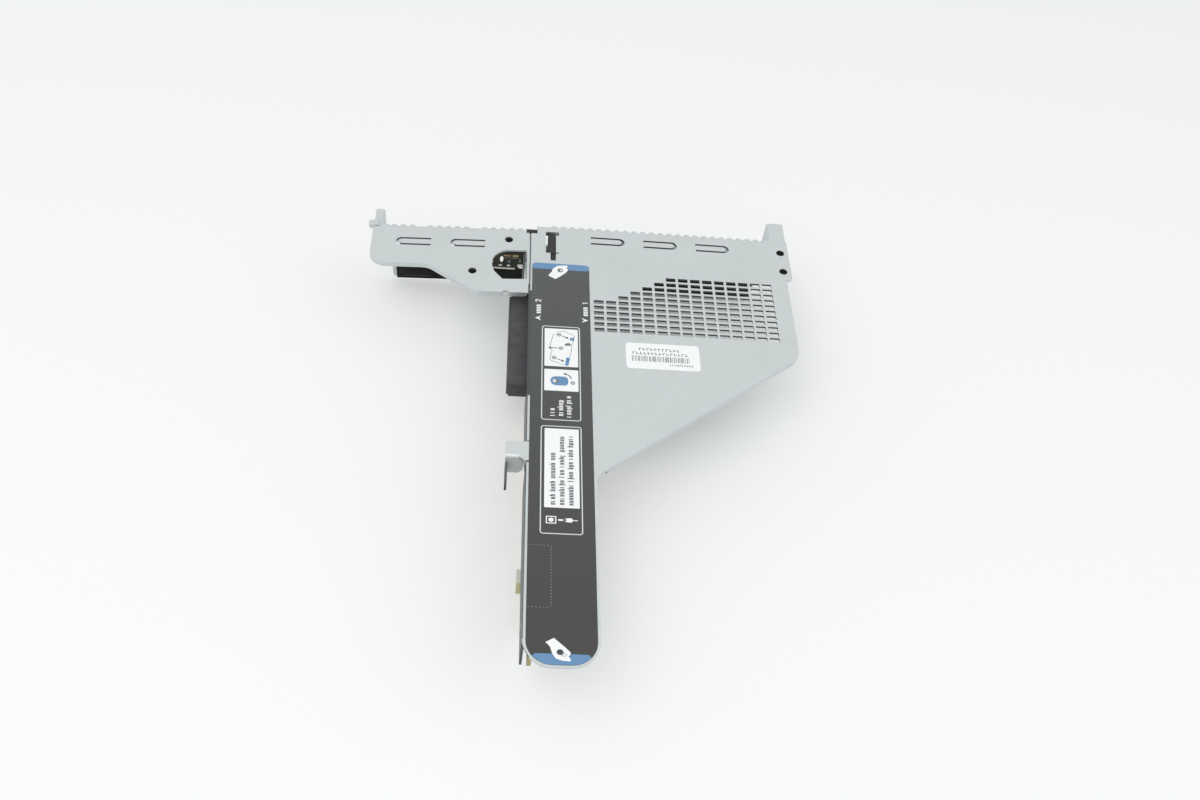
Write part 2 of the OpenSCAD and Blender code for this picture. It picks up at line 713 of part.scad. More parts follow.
module clock_chip() {
    color("black") translate([board_r, back(170), top_z - 18]) cube([0.9, 5, 5]);
}

// Spacers between the web and the board, with the board screws through both
module board_spacers() {
    color("silver") for (f = fixings)
        translate([web_in, back(f.x), top_z - f.y]) rotate([0, 90, 0]) difference() {
            cylinder(d = 5, h = web_gap, $fn = facets);
            translate([0, 0, -1]) cylinder(d = screw_d + 0.4, h = web_gap + 2, $fn = facets);
        }
}

module board_screws() {
    color("silver") for (f = fixings)
        translate([board_r, back(f.x), top_z - f.y]) rotate([0, 90, 0]) {
            translate([0, 0, web_x - board_r]) cylinder(d = screw_d, h = board_r - web_x + eps, $fn = facets);
            difference() {
                cylinder(d = 5, h = 1.8, $fn = facets);
                translate([0, 0, 0.8]) cylinder(d = 2.4, h = 2, $fn = 6);
            }
        }
}

module rivet(grip) {
    translate([0, 0, -eps]) cylinder(d = rivet_d, h = grip + 2 * eps, $fn = facets);
    translate([0, 0, grip]) cylinder(d = rivet_d + 2, h = 0.5, $fn = facets);
    translate([0, 0, -0.5]) cylinder(d = rivet_d + 2, h = 0.5, $fn = facets);
}

module web_rivets() {
    color("silver") for (f = rivets)
        translate([web_x - sheet_t, back(f.x), top_z - f.y]) rotate([0, 90, 0]) rivet(2 * sheet_t);
}

module ledge_rivets() {
    color("silver") for (d = ledge_rivet_backs)
        translate([ledge_rivet_x, back(d), ledge_top - sheet_t]) {
            translate([0, 0, -0.5]) cylinder(d = rivet_d + 1.6, h = 0.5, $fn = facets);
            cylinder(d = rivet_d, h = sheet_t, $fn = facets);
        }
}

module ledge_nut() {
    rotate([0, 90, 0]) difference() {
        cylinder(d = 5.6, h = nut_t, $fn = facets);
        translate([0, 0, -1]) cylinder(d = 2.9, h = nut_t + 2, $fn = facets);
    }
}

module ledge_nuts() {
    color("silver") {
        translate([ledge1_x + sheet_t, rear_y + nut_back, ledge_top - nut_drop]) ledge_nut();
        sag() translate([ledge2_r - sheet_t - nut_t, arm_y + nut_back, ledge_top - nut_drop]) ledge_nut();
    }
}

// ---- gaskets, clip and films ----
module slot1_gasket() {
    color([0.08, 0.08, 0.08])
        wall_y(rear_y - sheet_t, gasket_t)
            translate([web_x + 9.5, 0.8]) square([wall1_r - web_x - 10.5, gasket1_h]);
}

gasket2_z = top_z - arm_wall_h + 0.9;
lining_in = 0.8;
lining_l = window2_x + window2_l - lining_in;
lining_r = arm_wall_r - 1.2;
module slot2_gasket() {
    color([0.08, 0.08, 0.08]) sag() wall_y(arm_y - sheet_t, gasket_t) difference() {
        union() {
            translate([arm_wall_l + 2, gasket2_z]) square([lining_r - arm_wall_l - 2, gasket2_h]);
            translate([arm_wall_l + 2, gasket2_z + 1])
                square([lining_r - arm_wall_l - 2, window_z + lining_in - gasket2_z - 1]);
            translate([lining_l, window_z]) square([lining_r - lining_l, web_top - 2 - window_z]);
        }
        arm_slit();
    }
}

// Moulded clip under the T-shaped slot, with an arm that ends in the notch between the cages
clip_t = 3.4;
clip_l = 14;
clip_nose_l = 4.6;
clip_back = 18.2;
arm_t = 2.4;
hook_t = 1.4;
module cover_clip() {
    color([0.1, 0.1, 0.1]) {
        translate([clip_x + 1.2, back(clip_back), under_z - clip_t]) cube([clip_w - 1.2, clip_l, clip_t + 0.4]);
        translate([clip_x + 0.4, back(clip_back), under_z - clip_t]) cube([1.4, clip_nose_l, clip_t + 0.4]);
        translate([clip_x + clip_w - 2.2, back(22.6), under_z - clip_t]) cube([1.8, 5, clip_t]);
        translate([clip_x + 1.8, back(5.2), top_z - 2.8]) cube([2, 3.8, hook_t]);
        translate([web_x + notch_w, back(3.4), top_z - 2.8]) cube([clip_x + 3.8 - web_x - notch_w, 2, hook_t]);
        translate([web_x - 1.8, back(4.8), under_z - 1 - arm_t]) cube([notch_w + 2, 4.5, arm_t]);
    }
}

label_x = web_x + 1.3;
module slot_label() {
    color([0.35, 0.35, 0.34]) flat(top_z + film_t, film_t) difference() {
        polygon(rounded([[label_x + label_w, back(label_back), 1], [label_x, back(label_back), 1],
            [label_x, front_y + 1.6, strip_r - 1], [label_x + label_w, front_y + 1.6, strip_r - 1]]));
    }
}

module part_sticker() {
    color("white") flat(top_z + film_t, film_t)
        translate([web_x + sticker_x, back(sticker_back + sticker_h)])
            polygon(rounded([[0, 0, 1.6], [sticker_w, 0, 1.6], [sticker_w, sticker_h, 1.6], [0, sticker_h, 1.6]]));
}

main_cage();
slot2_cage();
slot1_ledge();
slot2_ledge();
riser_board();
slot1_connector();
slot2_connector();
slot1_contacts();
slot2_contacts();
edge_contacts();
signal_header();
board_capacitors();
clock_chip();
board_spacers();
board_screws();
web_rivets();
ledge_rivets();
ledge_nuts();
slot1_gasket();
slot2_gasket();
cover_clip();
slot_label();
part_sticker();
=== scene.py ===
"""Looks of a folded sheet-metal riser cage: its finishes, printed film, light and camera."""

import json
import logging
import math
import random
from dataclasses import dataclass, field
from enum import Enum

import bmesh
import bpy
from mathutils import Matrix, Vector
from mathutils.bvhtree import BVHTree

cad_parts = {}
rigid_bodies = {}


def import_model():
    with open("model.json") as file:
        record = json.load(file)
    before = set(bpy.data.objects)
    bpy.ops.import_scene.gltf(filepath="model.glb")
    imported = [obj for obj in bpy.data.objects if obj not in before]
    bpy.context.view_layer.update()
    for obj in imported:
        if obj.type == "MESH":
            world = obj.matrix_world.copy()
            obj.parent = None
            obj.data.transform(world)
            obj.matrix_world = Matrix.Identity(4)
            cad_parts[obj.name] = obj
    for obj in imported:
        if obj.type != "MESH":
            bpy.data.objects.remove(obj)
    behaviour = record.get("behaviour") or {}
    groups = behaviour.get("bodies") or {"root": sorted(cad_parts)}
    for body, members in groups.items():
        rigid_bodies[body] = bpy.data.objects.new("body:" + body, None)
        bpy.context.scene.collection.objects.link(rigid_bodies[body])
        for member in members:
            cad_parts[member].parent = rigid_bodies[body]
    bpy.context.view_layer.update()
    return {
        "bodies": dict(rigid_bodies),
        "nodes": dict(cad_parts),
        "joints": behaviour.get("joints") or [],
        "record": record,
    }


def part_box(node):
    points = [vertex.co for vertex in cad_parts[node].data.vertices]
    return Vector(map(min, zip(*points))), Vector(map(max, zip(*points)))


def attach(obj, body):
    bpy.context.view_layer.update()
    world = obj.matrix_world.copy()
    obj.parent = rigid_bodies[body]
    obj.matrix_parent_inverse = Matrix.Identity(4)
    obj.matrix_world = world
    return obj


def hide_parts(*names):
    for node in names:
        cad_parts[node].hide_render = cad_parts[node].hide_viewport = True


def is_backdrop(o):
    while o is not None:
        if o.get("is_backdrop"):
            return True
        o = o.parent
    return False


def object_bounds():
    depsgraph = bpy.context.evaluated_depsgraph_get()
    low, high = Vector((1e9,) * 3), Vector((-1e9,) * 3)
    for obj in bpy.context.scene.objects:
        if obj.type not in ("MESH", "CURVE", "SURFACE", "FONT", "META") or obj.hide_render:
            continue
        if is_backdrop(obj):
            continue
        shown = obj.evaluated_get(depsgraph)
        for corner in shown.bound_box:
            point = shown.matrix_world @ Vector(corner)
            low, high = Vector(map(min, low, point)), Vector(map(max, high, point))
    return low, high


LOG = logging.getLogger("riser_cage")
MM = 0.001
BODY = "root"
Point = tuple[float, float]
Box = tuple[float, float, float, float]
Place = tuple[float, float, float]
Colour = tuple[float, float, float]
Node = bpy.types.Node
Socket = bpy.types.NodeSocket
Tree = bpy.types.NodeTree
Material = bpy.types.Material
Mesh = bpy.types.Mesh
Piece = bpy.types.Object


def linear(red: int, green: int, blue: int) -> Colour:
    """Turn display values of 0 to 255 into linear ones.

    Args:
        red: Red, 0 to 255.
        green: Green, 0 to 255.
        blue: Blue, 0 to 255.

    Returns:
        The three linear values.
    """
    values = [channel / 255 for channel in (red, green, blue)]
    return tuple(v / 12.92 if v <= 0.04045 else ((v + 0.055) / 1.055) ** 2.4 for v in values)


# ---------------------------------------------------------------- shader graphs


class Graph:
    """Adds and links the nodes of one shader tree."""

    def __init__(self, tree: Tree, empty: bool = True) -> None:
        """Take a tree to fill or to add to.

        Args:
            tree: The node tree.
            empty: Whether its nodes are removed first.
        """
        self.tree = tree
        if empty:
            tree.nodes.clear()

    def add(self, kind: str, inputs: dict | None = None, **settings: object) -> Node:
        """Add a node.

        Args:
            kind: Node type without its ShaderNode prefix.
            inputs: Values or output sockets for its inputs, by name or number.
            **settings: Properties of the node.

        Returns:
            The new node.
        """
        prefix = "" if kind.startswith("Node") else "ShaderNode"
        node = self.tree.nodes.new(prefix + kind)
        for key, value in settings.items():
            setattr(node, key, value)
        for key, value in (inputs or {}).items():
            if isinstance(value, Socket):
                self.tree.links.new(value, node.inputs[key])
            else:
                node.inputs[key].default_value = value
        return node

    def link(self, value: Socket, node: Node, name: str) -> None:
        """Feed a socket to a named input of a node."""
        self.tree.links.new(value, node.inputs[name])

    def maths(self, operation: str, first: object, second: object, clamp: bool = False) -> Socket:
        """Add a Math node and return its output.

        Args:
            operation: Name of the operation.
            first: Value or socket.
            second: Value or socket.
            clamp: Whether the result is kept between 0 and 1.

        Returns:
            The output socket.
        """
        node = self.add("Math", {0: first, 1: second}, operation=operation, use_clamp=clamp)
        return node.outputs[0]

    def weigh(self, *parts: tuple[Socket, float], clamp: bool = False) -> Socket:
        """Add sockets up, each times its weight.

        Args:
            *parts: Sockets with their weights.
            clamp: Whether the sum is kept between 0 and 1.

        Returns:
            The socket of the sum.
        """
        terms = [self.maths("MULTIPLY", socket, weight) for socket, weight in parts]
        total = terms[0]
        for term in terms[1:]:
            total = self.maths("ADD", total, term)
        total.node.use_clamp = clamp
        return total

    def spread(self, value: Socket, low: float, high: float, to_low: float = 0.0,
               to_high: float = 1.0) -> Socket:
        """Add a Map Range node and return its output.

        Args:
            value: Socket to remap.
            low: Value that becomes to_low.
            high: Value that becomes to_high.
            to_low: Result at low.
            to_high: Result at high.

        Returns:
            The output socket.
        """
        node = self.add("MapRange", {0: value, 1: low, 2: high, 3: to_low, 4: to_high})
        return node.outputs[0]

    def blend(self, mask: Socket, first: object, second: object, mode: str = "MIX") -> Socket:
        """Mix two colours by a mask.

        Args:
            mask: Socket from 0 to 1.
            first: Linear colour or socket at 0.
            second: Linear colour or socket at 1.
            mode: How they mix.

        Returns:
            The colour socket.
        """
        ends = [end if isinstance(end, Socket) else (*end, 1.0) for end in (first, second)]
        node = self.add("Mix", {0: mask, 6: ends[0], 7: ends[1]}, data_type="RGBA", blend_type=mode)
        return node.outputs[2]

    def seen_directly(self) -> Socket:
        """Mask that is 1 where the camera, a reflection or a view through glass meets the surface.

        Returns:
            The mask's socket.
        """
        path = self.add("LightPath")
        seen = self.maths("MAXIMUM", path.outputs["Is Camera Ray"], path.outputs["Is Glossy Ray"])
        return self.maths("MAXIMUM", seen, path.outputs["Is Transmission Ray"])


class Effect(Enum):
    """Surface effects that several materials share."""

    SHEET_GRAIN = "sheet_grain"
    MOULD_GRAIN = "mould_grain"
    HANDLING = "handling_marks"
    WEAVE = "laminate_weave"


class EffectLibrary:
    """Builds each shared effect once, as a node group of masks and heights."""

    def __init__(self) -> None:
        """Start with no group built."""
        self.built: dict[Effect, Tree] = {}

    def get(self, effect: Effect) -> Tree:
        """Return the group of an effect, and build it the first time.

        Args:
            effect: The effect wanted.

        Returns:
            Its node group.
        """
        if effect not in self.built:
            maker = {
                Effect.SHEET_GRAIN: self.sheet_grain,
                Effect.MOULD_GRAIN: self.mould_grain,
                Effect.HANDLING: self.handling_marks,
                Effect.WEAVE: self.laminate_weave,
            }[effect]
            self.built[effect] = maker()
        return self.built[effect]

    @staticmethod
    def begin(effect: Effect, inputs: dict[str, float], outputs: tuple[str, ...]) -> tuple[Graph, Node, Node]:
        """Make an empty group with its sockets.

        Args:
            effect: The effect that it will hold.
            inputs: Input names with their default values.
            outputs: Output names.

        Returns:
            The group's graph, its input node and its output node.
        """
        tree = bpy.data.node_groups.new(effect.value, "ShaderNodeTree")
        for label, value in inputs.items():
            socket = tree.interface.new_socket(label, in_out="INPUT", socket_type="NodeSocketFloat")
            socket.default_value = value
        for label in outputs:
            tree.interface.new_socket(label, in_out="OUTPUT", socket_type="NodeSocketFloat")
        graph = Graph(tree)
        return graph, graph.add("NodeGroupInput"), graph.add("NodeGroupOutput")

    def sheet_grain(self) -> Tree:
        """Zinc spangle, rolling streaks and a fine tooth, as Tone, Rough and Height.

        Returns:
            The group.
        """
        graph, entry, leave = self.begin(
            Effect.SHEET_GRAIN, {"Spangle": 700.0, "Fine": 5200.0}, ("Tone", "Rough", "Height"))
        place = graph.add("TexCoord").outputs["Object"]
        cells = graph.add("TexVoronoi", {"Vector": place, "Scale": entry.outputs["Spangle"]},
                          feature="SMOOTH_F1")
        noise = graph.add("TexNoise", {"Vector": place, "Scale": 60.0, "Detail": 3.0, "Roughness": 0.55})
        squeeze = graph.add("Mapping", {"Vector": place, "Scale": (3200.0, 160.0, 3200.0)})
        lines = graph.add("TexNoise", {"Vector": squeeze.outputs[0], "Scale": 1.0, "Detail": 2.0})
        tooth = graph.add("TexNoise", {"Vector": place, "Scale": entry.outputs["Fine"], "Detail": 2.0})
        split = graph.add("SeparateColor", {0: cells.outputs["Color"]})
        drift, streaks, fine = noise.outputs[0], lines.outputs[0], tooth.outputs[0]
        tone = graph.weigh((split.outputs[0], 0.45), (drift, 0.35), (streaks, 0.2), clamp=True)
        rough = graph.weigh((split.outputs[1], 0.5), (fine, 0.5), clamp=True)
        height = graph.weigh((fine, 0.6), (streaks, 0.4))
        for name, value in (("Tone", tone), ("Rough", rough), ("Height", height)):
            graph.link(value, leave, name)
        return graph.tree

    def mould_grain(self) -> Tree:
        """Eroded grain of a moulded part, as Tone and Height.

        Returns:
            The group.
        """
        graph, entry, leave = self.begin(Effect.MOULD_GRAIN, {"Grain": 3600.0}, ("Tone", "Height"))
        place = graph.add("TexCoord").outputs["Object"]
        pits = graph.add("TexVoronoi", {"Vector": place, "Scale": entry.outputs["Grain"]}, feature="F1")
        cloud = graph.add("TexNoise", {"Vector": place, "Scale": 220.0, "Detail": 4.0})
        height = graph.weigh((pits.outputs["Distance"], 0.8), (cloud.outputs[0], 0.2))
        graph.link(cloud.outputs[0], leave, "Tone")
        graph.link(height, leave, "Height")
        return graph.tree

    def handling_marks(self) -> Tree:
        """Smudges and thin rubbed lines, as Smudge and Scratch masks.

        Returns:
            The group.
        """
        graph, entry, leave = self.begin(
            Effect.HANDLING, {"Size": 34.0, "Amount": 0.5}, ("Smudge", "Scratch"))
        place = graph.add("TexCoord").outputs["Object"]
        cloud = graph.add("TexNoise", {"Vector": place, "Scale": entry.outputs["Size"], "Detail": 5.0,
                                       "Roughness": 0.6, "Distortion": 0.6})
        smudge = graph.spread(cloud.outputs[0], 0.48, 0.72)
        smudge = graph.maths("MULTIPLY", smudge, entry.outputs["Amount"], clamp=True)
        turned = graph.add("Mapping", {"Vector": place, "Rotation": (0.2, 0.1, 0.62),
                                       "Scale": (2600.0, 46.0, 300.0)})
        lines = graph.add("TexNoise", {"Vector": turned.outputs[0], "Scale": 1.0, "Detail": 1.0})
        scratch = graph.spread(lines.outputs[0], 0.70, 0.78)
        scratch = graph.maths("MULTIPLY", scratch, graph.spread(cloud.outputs[0], 0.42, 0.6), clamp=True)
        graph.link(smudge, leave, "Smudge")
        graph.link(scratch, leave, "Scratch")
        return graph.tree

    def laminate_weave(self) -> Tree:
        """Glass cloth that shows through a board's mask, as Tone and Height.

        Returns:
            The group.
        """
        graph, entry, leave = self.begin(Effect.WEAVE, {"Thread": 5200.0}, ("Tone", "Height"))
        place = graph.add("TexCoord").outputs["Object"]
        threads = {"Vector": place, "Scale": entry.outputs["Thread"], "Distortion": 0.4}
        bands = [graph.add("TexWave", threads, wave_type="BANDS", bands_direction=axis).outputs["Fac"]
                 for axis in ("Y", "Z")]
        weave = graph.maths("MAXIMUM", bands[0], bands[1])
        for name in ("Tone", "Height"):
            graph.link(weave, leave, name)
        return graph.tree


EFFECTS = EffectLibrary()


# ---------------------------------------------------------------- finishes


@dataclass(frozen=True)
class Finish:
    """What every finish shares: a name and a way to start its material."""

    name: str

    def begin(self) -> tuple[Material, Graph, Node]:
        """Make a material with one Principled shader.

        Returns:
            The material, its graph and its shader.
        """
        material = bpy.data.materials.new(self.name)
        material.use_nodes = True
        graph = Graph(material.node_tree)
        shader = graph.add("BsdfPrincipled")
        graph.add("OutputMaterial", {"Surface": shader.outputs[0]})
        return material, graph, shader

    @staticmethod
    def effect(graph: Graph, effect: Effect, **values: float) -> Node:
        """Place a shared effect with its own values.

        Args:
            graph: Graph of the material.
            effect: The effect wanted.
            **values: Its inputs.

        Returns:
            The group node.
        """
        node = graph.add("Group", node_tree=EFFECTS.get(effect))
        for key, value in values.items():
            node.inputs[key].default_value = value
        return node

    @staticmethod
    def feed(graph: Graph, shader: Node, colour: Socket, rough: Socket, height: Socket,
             strength: float, depth: float) -> None:
        """Feed the shader's colour, roughness and bump.

        Args:
            graph: Graph of the material.
            shader: Its shader.
            colour: Colour socket.
            rough: Roughness socket.
            height: Height socket.
            strength: Strength of the bump.
            depth: Depth of the bump in millimetres.
        """
        bump = graph.add("Bump", {"Height": height, "Strength": strength, "Distance": depth * MM})
        for name, value in (("Base Color", colour), ("Roughness", rough), ("Normal", bump.outputs[0])):
            graph.link(value, shader, name)


@dataclass(frozen=True)
class ZincSheet(Finish):
    """Matt zinc-plated sheet with a fine spangle and light handling marks."""

    dark: Colour
    light: Colour
    rough_low: float = 0.46
    rough_high: float = 0.54
    metallic: float = 0.85
    marks: float = 0.35
    stain: Colour = (0.90, 0.91, 0.90)
    polish: float = 0.12

    def build(self) -> Material:
        """Build the material.

        Returns:
            The material.
        """
        material, graph, shader = self.begin()
        grain = self.effect(graph, Effect.SHEET_GRAIN)
        marks = self.effect(graph, Effect.HANDLING, Amount=self.marks)
        colour = graph.blend(grain.outputs["Tone"], self.dark, self.light)
        colour = graph.blend(marks.outputs["Smudge"], colour, self.stain, mode="MULTIPLY")
        rough = graph.spread(grain.outputs["Rough"], 0.2, 0.8, self.rough_low, self.rough_high)
        worn = graph.maths("MULTIPLY", marks.outputs["Scratch"], self.polish)
        rough = graph.maths("SUBTRACT", rough, worn)
        shader.inputs["Metallic"].default_value = self.metallic
        self.feed(graph, shader, colour, rough, grain.outputs["Height"], strength=0.15, depth=0.02)
        return material


@dataclass(frozen=True)
class BrightMetal(Finish):
    """Sheared edges, screws, rivets and gold: metal with fine tool lines."""

    colour: Colour
    shade: Colour
    roughness: float = 0.3
    metallic: float = 1.0

    def build(self) -> Material:
        """Build the material.

        Returns:
            The material.
        """
        material, graph, shader = self.begin()
        grain = self.effect(graph, Effect.SHEET_GRAIN, Spangle=2400.0, Fine=9000.0)
        marks = self.effect(graph, Effect.HANDLING, Size=160.0, Amount=0.6)
        mask = graph.maths("MAXIMUM", grain.outputs["Tone"], marks.outputs["Smudge"])
        colour = graph.blend(mask, self.shade, self.colour)
        rough = graph.spread(grain.outputs["Rough"], 0.0, 1.0, self.roughness - 0.06, self.roughness + 0.1)
        shader.inputs["Metallic"].default_value = self.metallic
        self.feed(graph, shader, colour, rough, grain.outputs["Height"], strength=0.2, depth=0.01)
        return material


@dataclass(frozen=True)
class Moulded(Finish):
    """Moulded plastic, resin, ceramic or rubber with an eroded grain, whose depth is in millimetres."""

    colour: Colour
    shade: Colour
    roughness: float = 0.55
    grain: float = 3600.0
    depth: float = 0.02
    specular: float = 0.5

    def build(self) -> Material:
        """Build the material.

        Returns:
            The material.
        """
        material, graph, shader = self.begin()
        grain = self.effect(graph, Effect.MOULD_GRAIN, Grain=self.grain)
        marks = self.effect(graph, Effect.HANDLING, Size=90.0, Amount=0.7)
        tone = graph.spread(grain.outputs["Tone"], 0.3, 0.7)
        colour = graph.blend(tone, self.shade, self.colour)
        rough = graph.spread(marks.outputs["Smudge"], 0.0, 1.0, self.roughness, self.roughness + 0.12)
        shader.inputs["Specular IOR Level"].default_value = self.specular
        self.feed(graph, shader, colour, rough, grain.outputs["Height"], strength=0.5, depth=self.depth)
        return material


@dataclass(frozen=True)
class SolderMask(Finish):
    """Green mask over glass laminate."""

    colour: Colour
    shade: Colour

    def build(self) -> Material:
        """Build the material.

        Returns:
            The material.
        """
        material, graph, shader = self.begin()
        weave = self.effect(graph, Effect.WEAVE)
        cloud = self.effect(graph, Effect.MOULD_GRAIN, Grain=900.0)
        cover = graph.spread(cloud.outputs["Tone"], 0.3, 0.7, 0.6, 1.0)
        colour = graph.blend(graph.maths("MULTIPLY", weave.outputs["Tone"], cover), self.shade, self.colour)
        rough = graph.spread(cloud.outputs["Tone"], 0.3, 0.7, 0.3, 0.42)
        self.feed(graph, shader, colour, rough, weave.outputs["Height"], strength=0.15, depth=0.02)
        return material


@dataclass(frozen=True)
class PrintedFilm(Finish):
    """Printed film, ink or coated paper: even colour with a faint mottle and sheen.

    The front colour, where there is one, turns into the colour between front_end and rear_end, in metres: a
    painted sheen that leaves the film lighter towards its rear.
    """

    colour: Colour
    mottle: float = 0.06
    roughness: float = 0.42
    grain: float = 5200.0
    front: Colour | None = None
    front_end: float = -0.08
    rear_end: float = 0.11

    def build(self) -> Material:
        """Build the material.

        Returns:
            The material.
        """
        material, graph, shader = self.begin()
        grain = self.effect(graph, Effect.MOULD_GRAIN, Grain=self.grain)
        marks = self.effect(graph, Effect.HANDLING, Size=70.0, Amount=0.8)
        tone = graph.spread(grain.outputs["Tone"], 0.3, 0.7)
        worn = tuple(v * (1 - self.mottle) for v in self.colour)
        colour = graph.blend(tone, worn, self.colour)
        # Painted sheen: the colour goes from the darker front colour to the lighter one towards the rear.
        if self.front:
            place = graph.add("SeparateXYZ", {0: graph.add("TexCoord").outputs["Object"]})
            painted_sheen = graph.spread(place.outputs[1], self.front_end, self.rear_end)
            colour = graph.blend(painted_sheen, self.front, colour)
        rough = graph.spread(marks.outputs["Smudge"], 0.0, 1.0, self.roughness, self.roughness + 0.14)
        self.feed(graph, shader, colour, rough, grain.outputs["Height"], strength=0.15, depth=0.01)
        return material


class Palette:
    """All the materials of the cage, built once."""

    def __init__(self) -> None:
        """Build every material."""
        self.zinc = ZincSheet("zinc_sheet", linear(203, 209, 209), linear(209, 215, 215)).build()
        # Darker copy of the zinc: painted shade on the main cage's left side, its guide leaf and the front
        # end of its web.
        self.zinc_painted_shade = ZincSheet("zinc_sheet_painted_shade", linear(80, 83, 83), linear(102, 105, 105),
                                     rough_low=0.42, rough_high=0.5).build()
        # Sheared edge, darkened further as painted shade inside holes and slits.
        self.cut_edge_and_painted_shade = BrightMetal("sheared_edge_and_painted_shade", linear(92, 95, 95), linear(70, 73, 73),
                                    roughness=0.5, metallic=0.6).build()
        # Dark nuts under the panel's holes: painted shade seen in the holes.
        self.black_painted_shade = BrightMetal("black_painted_shade", linear(84, 88, 88), linear(56, 58, 59),
                                       roughness=0.5, metallic=0.5).build()
        self.steel = BrightMetal("bright_steel", linear(212, 213, 214), linear(176, 178, 180)).build()
        self.dull_steel = BrightMetal("dull_steel", linear(150, 150, 146), linear(112, 112, 108),
                                      roughness=0.45, metallic=0.7).build()
        # Dark brown of the contact strip: bronze darkened with painted shade of the window.
        self.bronze = BrightMetal("spring_bronze_and_painted_shade", linear(76, 76, 64), linear(34, 34, 29),
                                  roughness=0.35, metallic=0.6).build()
        # Near-white patches of painted light on the contact strip.
        self.tin = BrightMetal("strip_painted_light", linear(255, 253, 246), linear(246, 243, 234),
                               roughness=0.5, metallic=0.05).build()
        self.gold = BrightMetal("gold_contact", linear(226, 190, 110), linear(190, 150, 78),
                                roughness=0.28).build()
        self.dull_gold = BrightMetal("dull_gold", linear(196, 182, 122), linear(156, 144, 92),
                                     roughness=0.45, metallic=0.3).build()
        self.mask = SolderMask("solder_mask", linear(34, 92, 58), linear(20, 66, 42)).build()
        self.laminate = Moulded("laminate_edge", linear(176, 162, 116), linear(152, 138, 96),
                                roughness=0.7, grain=2600.0).build()
        self.connector = Moulded("connector_plastic", linear(74, 74, 76), linear(60, 60, 62),
                                 roughness=0.5).build()
        self.cream = Moulded("cream_plastic", linear(226, 228, 214), linear(214, 216, 200),
                             roughness=0.45).build()
        self.yellow_cream = Moulded("cream_plastic_front", linear(214, 210, 160), linear(198, 194, 142),
                                    roughness=0.45).build()
        self.ceramic = Moulded("ceramic_body", linear(188, 158, 124), linear(160, 130, 98),
                               roughness=0.6).build()
        self.resin = Moulded("chip_resin", linear(44, 44, 46), linear(30, 30, 32), roughness=0.5).build()
        self.rubber = Moulded("black_rubber", linear(34, 34, 35), linear(22, 22, 23),
                              roughness=0.8, grain=2600.0, depth=0.05, specular=0.25).build()
        self.clip = Moulded("clip_plastic", linear(38, 38, 39), linear(26, 26, 27), roughness=0.5).build()
        # The film is lighter towards its rear: a painted sheen over the darker front colour.
        self.film = PrintedFilm("label_film", linear(80, 83, 82), front=linear(61, 62, 59)).build()
        self.blue = PrintedFilm("ink_blue", linear(104, 146, 187)).build()
        self.white = PrintedFilm("ink_white", linear(248, 249, 249), mottle=0.02).build()
        self.pale = PrintedFilm("ink_pale", linear(222, 225, 225), mottle=0.03).build()
        self.grey = PrintedFilm("ink_grey", linear(122, 125, 126)).build()
        self.dark = PrintedFilm("ink_dark", linear(66, 69, 73)).build()
        self.paper = PrintedFilm("sticker_paper", linear(249, 250, 250), mottle=0.02, roughness=0.5).build()
        self.toner = PrintedFilm("sticker_toner", linear(132, 134, 136), mottle=0.08, roughness=0.6).build()


# ---------------------------------------------------------------- meshes


